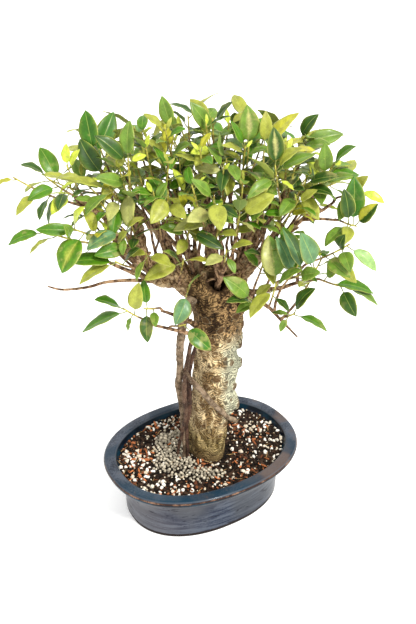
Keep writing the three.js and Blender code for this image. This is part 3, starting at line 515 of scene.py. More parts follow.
def soilSurface():    # the top alone, as a skin to scatter on
    clay = Clay()
    a, b = soilReach
    rings = []
    for i in range(soil["rings"], 0, -1):
        share = i / soil["rings"]
        ring = ovalRing(a * share, b * share, 0, soil["sides"])
        rings.append([Vector((p.x, p.y, soilMound(p.x, p.y))) for p in ring])
    clay.rings(rings, closed=False)
    last = len(clay.points) - soil["sides"]
    clay.faces.append(tuple(range(last, len(clay.points))))
    for x, y, _ in clay.points:    # how thick each kind of grain lies
        free = 0 if nearTrunk(x, y) else 1
        pile = heap(x, y, "pile")
        patch = 0.5 + 1.4 * noise.noise(Vector((x, y, 11)) / 26) - 0.004 * (x + 20)
        white = 0.75 * heap(x, y, "perlite") + noise.noise(Vector((x, y, 40)) / 10) + 0.02
        white = min(1, max(0.07, white)) * (1 - 0.7 * min(1, 2 * pile))
        pile *= 1 + 0.9 * noise.noise(Vector((x, y, 70)) / 8)
        clay.mark(1, free=free, perlite=free * white,
                  orange=free * min(1, max(0.08, patch)) * (1 - 0.8 * min(1, 2 * pile)),
                  pellets=free * min(1, 2.4 * pile), topPellets=free * max(0, min(1, 4 * pile - 1.6)),
                  chips=free * (1 - 0.85 * min(1, 2.5 * pile)))
    return clay


def makeSoil():
    clay = soilSurface()
    skirt = Clay()
    a, b = pot["length"] / 2, pot["width"] / 2
    side = (*soil["side"], (soil["edgeInset"] + 1.6, soil["edgeHeight"] - 3))
    rings = [ovalRing(a - inset, b - inset, z, soil["sides"]) for inset, z in side]
    skirt.rings(rings + [clay.points[:soil["sides"]]], closed=False)
    skirt.faces.append(tuple(reversed(range(soil["sides"]))))
    start = len(skirt.points) - soil["sides"]
    skirt.faces.extend(tuple(start + i for i in face) for face in clay.faces)
    skirt.points.extend(clay.points[soil["sides"]:])
    finished(skirt.made("soil", turned=False), soilFinish(), nodes=["soil"])
    print("soil made")


def soilFinish():
    dark = Finish("damp potting mix", Roughness=0.9, Specular_IOR_Level=0.12)
    lumps = dark.place.grain(3.2, 4)
    fleck = dark.place.grain(1.1, 2)
    colour = lumps.steps(0.4, 0.62).blend(*soil["tones"])
    colour = fleck.steps(0.6, 0.68).blend(colour, soil["fleck"])
    dark.set("Base Color", colour)
    dark.bump(lumps + fleck * 0.5, 1.2, 0.8)
    return dark.material


def grainTree():    # lumps scattered over the surface that it is put on
    given, start = newTree(
        "scattered grains", "Grains", Surface="Geometry", Where="String", Spacing="Float", Thickest="Float",
        Smallest="Vector", Largest="Vector", Tilt="Float", Lift="Float", Rough="Float", Rough_Size="Float",
        Smooth="Bool", Seed="Int", Look="Material")
    spread = {"Mesh": given["Surface"], "Distance Min": given["Spacing"], "Density Max": given["Thickest"],
              "Density Factor": start.named(given["Where"]), "Seed": given["Seed"]}
    points = start.add("GeometryNodeDistributePointsOnFaces", {"distribute_method": "POISSON"}, spread)
    size = start.add("FunctionNodeRandomValue", {"data_type": "FLOAT_VECTOR"},
                     {"Min": given["Smallest"], "Max": given["Largest"], "Seed": given["Seed"]})
    tilt = start.add("ShaderNodeCombineXYZ", None, {0: given["Tilt"], 1: given["Tilt"], 2: 3.2})
    turn = start.add("FunctionNodeRandomValue", {"data_type": "FLOAT_VECTOR"},
                     {"Min": tilt.longer(-1), "Max": tilt, "Seed": given["Seed"]})
    tone = start.add("FunctionNodeRandomValue", {"data_type": "FLOAT"},
                     {2: 0.0, 3: 1.0, "Seed": given["Seed"]}, 1)
    lump = start.add("GeometryNodeMeshIcoSphere", None, {"Radius": 0.5, "Subdivisions": 2})
    grains = lump.onPoints(points.store("grainTone", tone), Rotation=turn, Scale=size)
    raised = start.add("ShaderNodeCombineXYZ", None, {2: given["Lift"]})
    grains = start.add("GeometryNodeTranslateInstances", None,
                       {"Instances": grains, "Translation": raised, "Local Space": False}).real()
    rough = start.add("ShaderNodeTexNoise", None, {"Vector": start.add("GeometryNodeInputPosition"),
                                                   "Scale": 1 / given["Rough Size"], "Detail": 1}, 1)
    push = rough.arrow("SUBTRACT", (0.5, 0.5, 0.5)).longer(given["Rough"])
    grains = start.add("GeometryNodeSetPosition", None, {"Geometry": grains, "Offset": push})
    grains = start.add("GeometryNodeSetShadeSmooth", None,
                       {"Geometry": grains, "Shade Smooth": given["Smooth"]})
    return grains.painted(given["Look"]).result("Grains")


# Where names a value at the surface's points that says how thick the grains lie. Spacing, Lift, Rough and
# Rough Size are in mm, and so are the smallest and the largest grain, along, across and high.
grains = {
    "darkBark": {"Where": "chips", "Spacing": 3.6, "Smallest": (2.6, 1.8, 1.2), "Largest": (9, 5.5, 3.2),
                 "Tilt": 0.6, "Lift": 0.4, "Rough": 2.2, "Rough Size": 1.8, "Seed": 3},
    "perlite": {"Where": "perlite", "Spacing": 4.8, "Smallest": (1.8, 1.6, 1.5), "Largest": (7.8, 6, 5),
                "Tilt": 1.2, "Lift": 1.2, "Rough": 3.2, "Rough Size": 2.4, "Seed": 11},
    "smallPerlite": {"Where": "free", "Spacing": 7.6, "Smallest": (1.2, 1.2, 1), "Largest": (2.6, 2.4, 2.2),
                     "Tilt": 1.2, "Lift": 1.3, "Rough": 1.2, "Rough Size": 1.4, "Seed": 23},
    "orangeBark": {"Where": "orange", "Spacing": 6.6, "Smallest": (3, 1.6, 1), "Largest": (10, 4.5, 2.6),
                   "Tilt": 0.8, "Lift": 1.6, "Rough": 2.6, "Rough Size": 2.4, "Seed": 31},
    "orangeCrumbs": {"Where": "orange", "Spacing": 6, "Smallest": (1.2, 0.8, 0.7), "Largest": (4.4, 2.2, 1.6),
                     "Tilt": 1.0, "Lift": 1.5, "Rough": 1.2, "Rough Size": 1.4, "Seed": 37},
    "feedPellets": {"Where": "pellets", "Spacing": 3.8, "Smallest": (2.8, 2.8, 2.6),
                    "Largest": (4.4, 4.4, 4.1), "Tilt": 0.5, "Lift": 1.3, "Rough": 0.5, "Rough Size": 2,
                    "Seed": 5},
    "topPellets": {"Where": "topPellets", "Spacing": 4.3, "Smallest": (2.8, 2.8, 2.6),
                   "Largest": (4.4, 4.4, 4.1), "Tilt": 0.5, "Lift": 4, "Rough": 0.5, "Rough Size": 2,
                   "Seed": 8},
    "fibres": {"Where": "free", "Spacing": 20, "Smallest": (5, 0.5, 0.5), "Largest": (14, 0.8, 0.7),
               "Tilt": 0.25, "Lift": 2.4, "Rough": 7, "Rough Size": 9, "Seed": 44},
}


def scatterGrains():
    surface = soilSurface().made("scatter surface", turned=False)
    nodes = grainTree()
    looks = grainFinishes()
    for name, sizes in grains.items():
        piece = onScene(name, surface.data.copy())
        smooth = name in ("feedPellets", "topPellets")
        values = {"Thickest": 4e6 / sizes["Spacing"] ** 2, "Smooth": smooth, "Look": looks[name]}
        for label, value in sizes.items():
            inMetres = label in ("Spacing", "Smallest", "Largest", "Lift", "Rough", "Rough Size")
            values[label] = scaled(value) if inMetres else value
        grow(piece, nodes, values)
        finished(piece, looks[name], smooth)
        print(name, len(piece.data.polygons), "faces")
    bpy.data.objects.remove(surface)


def scaled(value):    # millimetres to metres
    return [part * mm for part in value] if isinstance(value, tuple) else value * mm


# of each kind: the darkest and the palest tone, roughness, and relief in mm
grainTones = {
    "darkBark": ((0.003, 0.0024, 0.002), (0.05, 0.026, 0.014), 0.75, 0.5),
    "perlite": ((0.62, 0.52, 0.38), (1.0, 0.97, 0.9), 0.85, 0.5),
    "smallPerlite": ((0.5, 0.4, 0.25), (0.97, 0.9, 0.74), 0.85, 0.4),
    "orangeBark": ((0.08, 0.026, 0.012), (0.6, 0.2, 0.07), 0.7, 0.5),
    "orangeCrumbs": ((0.03, 0.014, 0.008), (0.38, 0.13, 0.045), 0.7, 0.5),
    "feedPellets": ((0.19, 0.165, 0.125), (0.62, 0.55, 0.42), 0.7, 0.25),
    "topPellets": ((0.19, 0.165, 0.125), (0.62, 0.55, 0.42), 0.7, 0.25),
    "fibres": ((0.2, 0.1, 0.035), (0.45, 0.3, 0.13), 0.7, 0.1),
}


def grainFinishes():
    looks = {}
    for name, (low, high, roughness, relief) in grainTones.items():
        look = Finish(name + " look", Specular_IOR_Level=0.15)
        tone, = look.read("grainTone")
        mottle = look.place.grain(1.3, 3)
        colour = (tone * 0.75 + mottle * 0.5 - 0.12).steps(0, 1).blend(low, high)
        # dark specks: painted shade in small pits
        pitShade = look.place.grain(0.7, 2).steps(0.62, 0.72)
        look.set("Base Color", (pitShade * 0.35).blend(colour, [part * 0.35 for part in low]))
        look.set("Roughness", roughness - tone * 0.15 + mottle * 0.1)
        look.bump(mottle, relief, 0.6)
        looks[name] = look.material
    return looks


# ---- branches and roots: points along each in mm, with a radius, thick end first

branches = {
    "bigLeft": [(12, -6, 284, 17), (-8, -10, 304, 13.5), (-39, -20, 334, 10), (-66, -30, 351, 8),
        (-86, -38, 373, 5.4), (-95, -40, 400, 3.8), (-112, -40, 414, 2.7), (-128, -38, 424, 1.9)],
    "burl": [(-60, -26, 347, 7), (-67, -15, 374, 5.6), (-70, -8, 396, 7), (-84, 0, 407, 3.4),
        (-98, 5, 416, 2)],
    "leftSecond": [(-28, -14, 324, 5), (-38, -6, 349, 4), (-45, 4, 364, 3.2), (-52, 12, 382, 2.7),
        (-57, 20, 402, 1.9)],
    "leftThird": [(-4, 0, 314, 5.4), (-16, 10, 345, 3.8), (-25, 22, 368, 3), (-27, 32, 392, 2.4),
        (-27, 38, 412, 1.8)],
    "inner": [(4, 2, 318, 4.6), (-6, 6, 342, 3), (-8, 18, 364, 2.4), (-14, 32, 386, 1.8)],
    "centre": [(16, 2, 318, 5.4), (13, 13, 352, 3.8), (9, 20, 380, 2.8), (4, 28, 410, 1.9)],
    "clusterTall": [(38, -2, 308, 8), (46, 5, 345, 5.6), (50, 15, 373, 4.4), (48, 24, 394, 3.2),
        (44, 34, 414, 2)],
    "clusterOuter": [(43, -6, 312, 7), (56, 0, 347, 4.4), (63, 5, 371, 3.2), (68, 14, 403, 2)],
    "hub": [(44, -8, 314, 5), (66, -10, 352, 3), (82, -9, 376, 2.5), (88, 0, 404, 2.2), (92, 9, 426, 1.6)],
    "right": [(38, -6, 306, 5.5), (60, -12, 336, 3.6), (82, -16, 362, 2.8), (110, -20, 396, 2.2),
        (129, -16, 403, 1.9), (142, -10, 410, 1.5)],
    "rightOuter": [(108, -20, 394, 2), (126, -24, 397, 1.7), (142, -27, 397, 1.4)],
    "lowRight": [(34, -8, 296, 5), (60, -18, 306, 3), (87, -30, 317, 2.4), (105, -40, 329, 2),
        (122, -47, 336, 1.6)],
    "bareRight": [(34, -12, 290, 4.6), (56, -24, 300, 2.7), (74, -40, 299, 2.2), (88, -50, 288, 1.6),
        (106, -60, 272, 1)],
    "leftLow": [(-6, -12, 298, 6), (-24, -18, 312, 4.4), (-46, -30, 324, 3.4), (-68, -40, 339, 2.6),
        (-92, -50, 356, 1.9), (-112, -56, 372, 1.3)],
    "bareLeft": [(-50, -32, 326, 2.4), (-74, -44, 334, 2.1), (-100, -54, 337, 1.8), (-120, -58, 333, 1.6),
        (-146, -60, 331, 1.3), (-162, -62, 336, 0.9)],
    "lowLeft": [(2, -18, 256, 4), (-16, -34, 278, 2.6), (-32, -44, 292, 2), (-42, -48, 298, 1.5)],
    "frontLow": [(4, -20, 244, 3.6), (-14, -42, 266, 2.4), (-34, -54, 279, 1.9), (-54, -60, 288, 1.5)],
    "frontCrown": [(18, -12, 308, 4.2), (21, -30, 328, 2.6), (24, -42, 344, 1.8)],
    "backMiddle": [(16, 6, 300, 8), (8, 40, 340, 5), (2, 66, 376, 3.4), (-2, 84, 404, 2)],
    "backLeft": [(-4, 4, 300, 7.5), (-36, 30, 336, 4.8), (-68, 52, 370, 3.4), (-92, 64, 396, 2)],
    "backRight": [(30, 4, 302, 7.5), (56, 32, 338, 4.8), (82, 52, 370, 3.4), (104, 62, 394, 2)],
    "backLow": [(10, 8, 284, 6), (-12, 44, 310, 3.6), (-40, 72, 334, 2)],
    "backLowRight": [(28, 6, 284, 5.6), (42, 44, 312, 3.4), (56, 76, 338, 2)],
    "thickRoot": [(-10, -18, 298, 7), (-20, -34, 276, 5.2), (-23.5, -40, 243, 4.4), (-24, -40, 212, 4),
        (-26, -38, 197, 4.6), (-24.5, -35, 172, 3.5), (-21.5, -26, 112, 2.8), (-21, -22, 82, 2.4),
        (-21, -22, 44, 2.4)],
    "darkRoot": [(-2, -20, 264, 3.2), (-12, -34, 246, 2.6), (-15.5, -42, 226, 2.7), (-19, -47, 206, 2.9),
        (-19, -46, 180, 2.8), (-18, -41, 156, 2.6), (-24, -30, 114, 2.2), (-29, -18, 84, 1.9),
        (-29, -18, 50, 1.9)],
    "thinRoot": [(-4, -32, 250, 2), (-11, -36, 228, 2.6), (-14.5, -37, 206, 3.2), (-14, -34, 180, 3.2),
        (-15, -32, 154, 3), (-18, -29, 128, 2.6), (-18, -26, 104, 2.2), (-17, -24, 84, 1.8),
        (-17, -24, 58, 1.6)],
    "crossRoot": [(-19, -46, 218, 3), (-8, -42, 198, 3.2), (5, -40, 180, 3.4), (20, -36, 158, 3.2),
        (33, -24, 136, 3), (42, -6, 118, 2.8), (37, 10, 108, 2.6), (26, 24, 90, 2.4), (25, 25, 82, 2.4),
        (25, 25, 50, 2.4)],
}


# ---- wood

wood = {
    "outline": (    # height, left edge, right edge
        (16, -16, 29), (78, -16, 29), (92, -17, 31), (110, -15, 31), (124, -14, 32), (139, -14, 38),
        (153, -13, 43), (167, -13, 38), (182, -11, 41), (196, -9, 44), (209, -8, 46), (222, -8, 41),
        (236, -8, 47), (255, -8, 46), (277, -9, 49), (292, -12, 53), (307, -12, 52), (320, -6, 46),
        (331, 1, 40)),
    "axis": (14, -6), "depth": 24,
    "flutedFrom": 78, "narrowFrom": 307,
    "knots": (    # direction round the trunk in degrees, height, radius
        (-28, 291, 7.5), (-12, 234, 6.5), (-3, 205, 6.5), (-32, 180, 5.5), (-14, 149, 6.5), (-82, 197, 6),
        (80, 180, 7), (130, 240, 8), (-48, 216, 5), (-20, 262, 5.5), (-70, 148, 5), (-105, 186, 4.5),
        (-50, 128, 5.5), (-125, 236, 5.5), (-95, 250, 5), (170, 150, 6), (40, 250, 6), (60, 130, 6)),
    "scars": (
        (-75, 262, 5), (-62, 224, 3.5), (-100, 214, 4), (-118, 158, 4), (-60, 112, 3.5), (150, 200, 5),
        (-55, 246, 4), (-84, 232, 4.5), (-40, 276, 5.5), (-110, 276, 5), (-58, 190, 3.5), (-88, 168, 4),
        (-36, 160, 3.5), (-112, 128, 4), (-20, 120, 4), (20, 220, 5), (100, 260, 5)),
    # the rotted heart
    "pit": ((17, -40, 340, 14), (19, -26, 324, 12), (21, -13, 308, 6), (22, -10, 298, 1)),
    "sides": 96, "step": 2,
    "voxel": 1.2,
    "thinnest": 2.3,          # branches are solid wood down to this radius, and twigs beyond it
    "strands": 1.5,           # how far the muscles under the bark stand out
    "roots": ("thickRoot", "darkRoot", "thinRoot", "crossRoot"),
    "apart": ("frontCrown",),    # grows across the pit, with the twigs
}


def trunkPoint(angle, z):
    rows = np.array(wood["outline"], float)
    left, right = np.interp(z, rows[:, 0], rows[:, 1]), np.interp(z, rows[:, 0], rows[:, 2])
    axisX, axisY = wood["axis"]
    fluted = smoothStep(z, wood["flutedFrom"], wood["flutedFrom"] + 14)
    flute = 1 + fluted * (0.03 * math.sin(3 * angle + z / 19) + 0.025 * math.sin(5 * angle - z / 13))
    depth = wood["depth"] - 2 * (1 - fluted)
    depth *= 1 - 0.15 * smoothStep(z, wood["narrowFrom"], wood["narrowFrom"] + 13)
    reach = right - axisX if math.cos(angle) > 0 else axisX - left
    swirl = Vector((math.cos(angle) * 1.9, math.sin(angle) * 1.9, z / 48))
    strand = noise.noise(swirl) * 1.2 + 0.6 * noise.noise(swirl * 2.1 + Vector((3, 1, 7)))
    muscle = fluted * wood["strands"] * strand
    return Vector((axisX + (reach * flute + muscle) * math.cos(angle),
                   axisY + (depth * flute + muscle) * math.sin(angle), z))


def knotPlaces():    # each knot's middle on the bark, the way it faces, its radius, and if it is raised
    for kind in ("knots", "scars"):
        for degrees, z, radius in wood[kind]:
            angle = math.radians(degrees)
            out = Vector((math.cos(angle), math.sin(angle), 0))
            yield trunkPoint(angle, z), out, radius, kind == "knots"


def makeWood():
    clay = Clay()
    turns = np.arange(wood["sides"]) * 2 * math.pi / wood["sides"]
    heights = np.arange(wood["outline"][0][0], wood["outline"][-1][0] + 0.1, wood["step"])
    clay.rings([[trunkPoint(angle, z) for angle in turns] for z in heights])
    for name in branches:    # as far as they are solid wood
        path = smoothed(branches[name], 3)
        path = path[path[:, 3] >= wood["thinnest"]]
        if name not in wood["roots"] + wood["apart"] and len(path) > 1:
            clay.tube(path, 20, rough=0.22, roughSize=8)
    for middle, out, radius, raised in knotPlaces():
        if raised:    # a healed stub stands out of the bark, in shares of its radius
            shares = ((-0.9, 1.15), (-0.25, 1.0), (0.15, 0.84), (0.34, 0.62), (0.42, 0.36))
            rows = [(*(middle + out * radius * away), radius * wide) for away, wide in shares]
            clay.tube(rows, 18, rough=0.1, roughSize=3)
    piece = clay.made("wood")
    hollow = Clay()
    hollow.tube(smoothed(wood["pit"], 3), 24, rough=0.3, roughSize=5)
    cutter = hollow.made("pit")
    remesh = piece.modifiers.new("grow together", "REMESH")
    remesh.mode = "VOXEL"
    remesh.voxel_size = wood["voxel"] * mm
    cut = piece.modifiers.new("pit", "BOOLEAN")
    cut.object = cutter
    cut.solver = "EXACT"
    smooth = piece.modifiers.new("smooth", "SMOOTH")
    smooth.factor = 0.5
    smooth.iterations = 5
    settle(piece)
    bpy.data.objects.remove(cutter)
    weather(piece.data)
    finished(piece, barkFinish(), nodes=["wood"])
    print("wood made", len(piece.data.polygons), "faces")


def weather(mesh):    # relief of the bark, and what each place of it looks like
    count = len(mesh.vertices)
    flat = np.zeros(count * 3)
    mesh.vertices.foreach_get("co", flat)
    points = flat.reshape(-1, 3) @ np.array(treeTurn) / mm    # in the tree's frame
    mesh.vertex_normals.foreach_get("vector", flat)
    normals = flat.reshape(-1, 3) @ np.array(treeTurn)
    x, y, z = points.T
    axisX, axisY = wood["axis"]
    # onTrunk is 0 out on the limbs, and crown is 1 where the limbs leave the trunk and above that
    onTrunk = 1 - smoothStep(np.hypot(x - axisX, y - axisY), 33, 40)
    onTrunk *= 1 - smoothStep(z, 318, 330)
    crown = smoothStep(z, 250, 285)
    relief = np.zeros(count)
    scar = np.zeros(count)
    ragged = np.array([noise.noise(Vector(point) / 3.5) + 0.6 * noise.noise(Vector(point) / 1.7)
                       for point in points])
    for middle, out, radius, raised in knotPlaces():
        centre = np.array(middle + out * radius * (0.45 if raised else 0))
        away = np.linalg.norm(points - centre, axis=1) / radius
        away *= 1 + 0.45 * ragged
        near = away < 3
        # a swelling with a pit in its middle and a ring round that
        relief[near] += (1.9 if raised else 0.6) * np.exp(-(away[near] / 1.5) ** 2)
        relief[near] -= (0.9 if raised else 1.3) * np.exp(-(away[near] / 0.35) ** 2)
        relief[near] += 0.35 * np.exp(-((away[near] - 0.7) / 0.28) ** 2)
        scar[near] = np.maximum(scar[near], 1 - smoothStep(away[near], 0.4, 0.95))
    for i in range(count):
        place = Vector(points[i])
        swell = noise.noise(place / 15) + 0.5 * noise.noise(place / 7)
        rough = noise.fractal(place / 4.5, 0.9, 2.0, 3)
        relief[i] += (0.8 * onTrunk[i] + 1.7 * crown[i] + 0.5) * swell + (0.25 + 0.7 * crown[i]) * rough
    hollow = np.zeros(count)
    for pitX, pitY, pitZ, radius in smoothed(wood["pit"], 2):
        away = np.linalg.norm(points - np.array((pitX, pitY, pitZ)), axis=1)
        hollow = np.maximum(hollow, 1 - smoothStep(away + 2 * ragged, radius, radius + 5))
    moved = (points + normals * relief[:, None]) * mm @ np.array(treeTurn).T
    mesh.vertices.foreach_set("co", moved.ravel())
    keepValues(mesh, {
        "trunkSide": np.clip((x - axisX) / 24, -1, 1),
        "onTrunk": onTrunk,
        "scar": scar,
        "hollow": hollow,
        "raised": np.clip(relief / 2 + 0.5, 0, 1),
    })
    mesh.update()


# where there are two tones, the first is the darker
barkTones = {
    "limb": ((0.085, 0.045, 0.02), (0.44, 0.29, 0.155)), "limbPatch": (0.58, 0.45, 0.28),
    # the pale tone is partly pale bark and partly painted light on the trunk's right side
    "trunk": ((0.25, 0.155, 0.065), (0.88, 0.68, 0.38)), "pale": (0.47, 0.49, 0.36),
    "low": ((0.14, 0.095, 0.03), (0.70, 0.53, 0.23)),
    "crown": ((0.042, 0.02, 0.007), (0.47, 0.29, 0.125)),
    # the left tone is painted shade on the trunk's left side
    "left": (0.15, 0.09, 0.035), "foot": (0.09, 0.045, 0.02), "slit": (0.06, 0.03, 0.01),
    # the hollow tone is painted shade in the pit
    "scarRing": (0.6, 0.5, 0.32), "scar": (0.095, 0.05, 0.02), "hollow": (0.035, 0.018, 0.007),
    "wrinkle": 3.5,           # mm from one wrinkle to the next
}


def barkFinish():
    bark = Finish("fig bark", Specular_IOR_Level=0.15)
    place = bark.place
    z = place.axis(2)
    onTrunk, side, scar, hollow, raised = bark.read("onTrunk", "trunkSide", "scar", "hollow", "raised")
    patches = place.stretch(1, 1, 0.6).grain(12, 4, 0.6, 0.4)
    fine = place.grain(1.5, 5, 0.65)
    crust = place.grain(4.5, 5, 0.65, 1.2)
    # the wrinkles run round the trunk like the lines of a fingertip, and part and meet
    bent = z + (place.grain(19, 2, 0.45) - 0.5) * 46
    lines = (bent * (2 * math.pi / barkTones["wrinkle"]) + (fine - 0.5) * 2.0).sum("SINE")
    groove = (lines + (place.grain(6, 3) - 0.5) * 2.4).steps(-0.2, 0.6)
    slits = place.stretch(0.1, 0.1, 0.42).grain(1, 3, 0.5, 0.5).steps(0.63, 0.68)
    height = z + (place.grain(26, 3) - 0.5) * 60
    # the limbs are brown, and the trunk goes from green at the soil to pale and back to brown;
    # the pale on the trunk's right side is partly painted light
    limb = crust.steps(0.38, 0.6).blend(*barkTones["limb"])
    limb = (place.grain(9, 3).steps(0.53, 0.64) * 0.6).blend(limb, barkTones["limbPatch"])
    trunk = patches.steps(0.44, 0.57).blend(*barkTones["trunk"])
    right = (side * 0.8 + patches * 1.2 - 0.75).steps(0, 0.55)
    pale = right * height.steps(118, 150) * (1 - height.steps(224, 272))
    trunk = (pale * 0.85).blend(trunk, barkTones["pale"])
    lowTone = patches.steps(0.42, 0.58).blend(*barkTones["low"])
    low = (1 - height.steps(98, 136)).blend(trunk, lowTone)
    crownTone = (crust * 0.6 + patches * 0.4).steps(0.44, 0.57).blend(*barkTones["crown"])
    high = (height + (crust - 0.5) * 40).steps(232, 270).blend(low, crownTone)
    # the trunk's left side is darkened with painted shade
    left = ((0 - side) + (patches - 0.5) * 2.4).steps(0, 0.8) * 0.33
    trunk = left.blend(high, barkTones["left"])
    # the foot is darker and redder
    foot = (1 - height.steps(76, 104)) * (0.35 + patches.steps(0.4, 0.6) * 0.45)
    trunk = foot.blend(trunk, barkTones["foot"])
    colour = onTrunk.blend(limb, trunk)
    # wrinkles with painted shade in their grooves, slits and specks
    colour = (groove * (0.15 + 0.7 * onTrunk)).blend(colour, colour.longer(0.17))
    colour = (slits * 0.75).blend(colour, barkTones["slit"])
    colour = (fine.steps(0.54, 0.68) * 0.55).blend(colour, colour.longer(1.9))
    colour = (fine.steps(0.3, 0.46) * -0.6 + 0.6).blend(colour, colour.longer(0.25))
    speck = place.grain(2.8, 4, 0.7, 0.5)
    colour = (speck.steps(0.56, 0.62) * 0.5).blend(colour, colour.longer(0.3))
    colour = ((1 - speck.steps(0.36, 0.42)) * 0.5).blend(colour, colour.longer(1.5))
    # the low places of the relief are darker: painted shade
    colour = ((1 - raised.steps(0.1, 0.42)) * 0.45).blend(colour, colour.longer(0.45))
    # old wounds are brown with a pale ring
    ring = scar.steps(0.02, 0.2) * (1 - scar.steps(0.2, 0.5))
    colour = (ring * 0.25).blend(colour, barkTones["scarRing"])
    colour = (scar.steps(0.2, 0.7) * (0.6 + patches * 0.4)).blend(colour, barkTones["scar"])
    # the pit and a soft rim round it are darkened: painted shade in the hollow
    colour = hollow.blend(colour, barkTones["hollow"])
    bark.set("Base Color", colour)
    bark.set("Roughness", 0.74 + fine * 0.2)
    relief = slits * -0.8 + groove * (-0.25 - 0.6 * onTrunk) + fine * 0.4 + crust * (1.2 - 0.7 * onTrunk)
    bark.bump(relief, 0.9, 0.9)
    return bark.material


# ---- aerial roots

roots = {
    # from dark to pale, at the upper end and at the lower
    "tones": {"thickRoot": (0.8, 0.45), "darkRoot": (0.15, 0), "thinRoot": (0, 0), "crossRoot": (0.5, 1.3)},
    "swell": 0.16, "sway": 1.1,    # share of the radius, mm
    "dark": ((0.028, 0.012, 0.008), (0.085, 0.042, 0.026)),
    "light": ((0.10, 0.065, 0.035), (0.30, 0.22, 0.14)),
    "ring": (0.07, 0.04, 0.02), "speck": (0.62, 0.54, 0.42),
}


def makeRoots():
    clay = Clay()
    for name in wood["roots"]:
        path = smoothed(branches[name], 2.5)
        for row in path:    # the root swells and wavers as it goes down
            place = Vector(row[:3])
            row[3] *= 1 + roots["swell"] * noise.noise(place / 13)
            row[0] += roots["sway"] * noise.noise(place / 17)
            row[1] += roots["sway"] * noise.noise(place / 17 + Vector((5, 5, 5)))
        shades = np.linspace(*roots["tones"][name], len(path))
        clay.tube(path, 14, rough=0.2, roughSize=4, tone=shades)
    finished(clay.made("aerialRoots"), rootFinish())
    print("roots made")


def rootFinish():
    root = Finish("aerial root bark", Specular_IOR_Level=0.2)
    place = root.place
    tone, = root.read("tone")
    patches = place.grain(9, 3)
    rings = place.stretch(0.25, 0.25, 1).grain(1.2, 3)
    fine = place.grain(1.2, 4)
    dark = patches.steps(0.4, 0.6).blend(*roots["dark"])
    light = patches.steps(0.4, 0.6).blend(*roots["light"])
    colour = tone.blend(dark, light)
    colour = (rings.steps(0.55, 0.66) * 0.45).blend(colour, roots["ring"])
    colour = (fine.steps(0.56, 0.68) * (0.15 + tone * 0.4)).blend(colour, roots["speck"])
    colour = ((1 - fine.steps(0.34, 0.44)) * 0.5).blend(colour, colour.longer(0.35))
    root.set("Base Color", colour)
    root.set("Roughness", 0.7 + fine * 0.2)
    root.bump(rings * 0.7 + fine * 0.5, 0.4, 0.7)
    return root.material


# ---- sprays


def sprig(branch, place, start, end, more, tones="g d b o g t g b", *leaves):
    return {"on": (branch, place), "from": start, "to": end, "more": more, "size": 1,
            "tones": tones, "leaves": leaves}


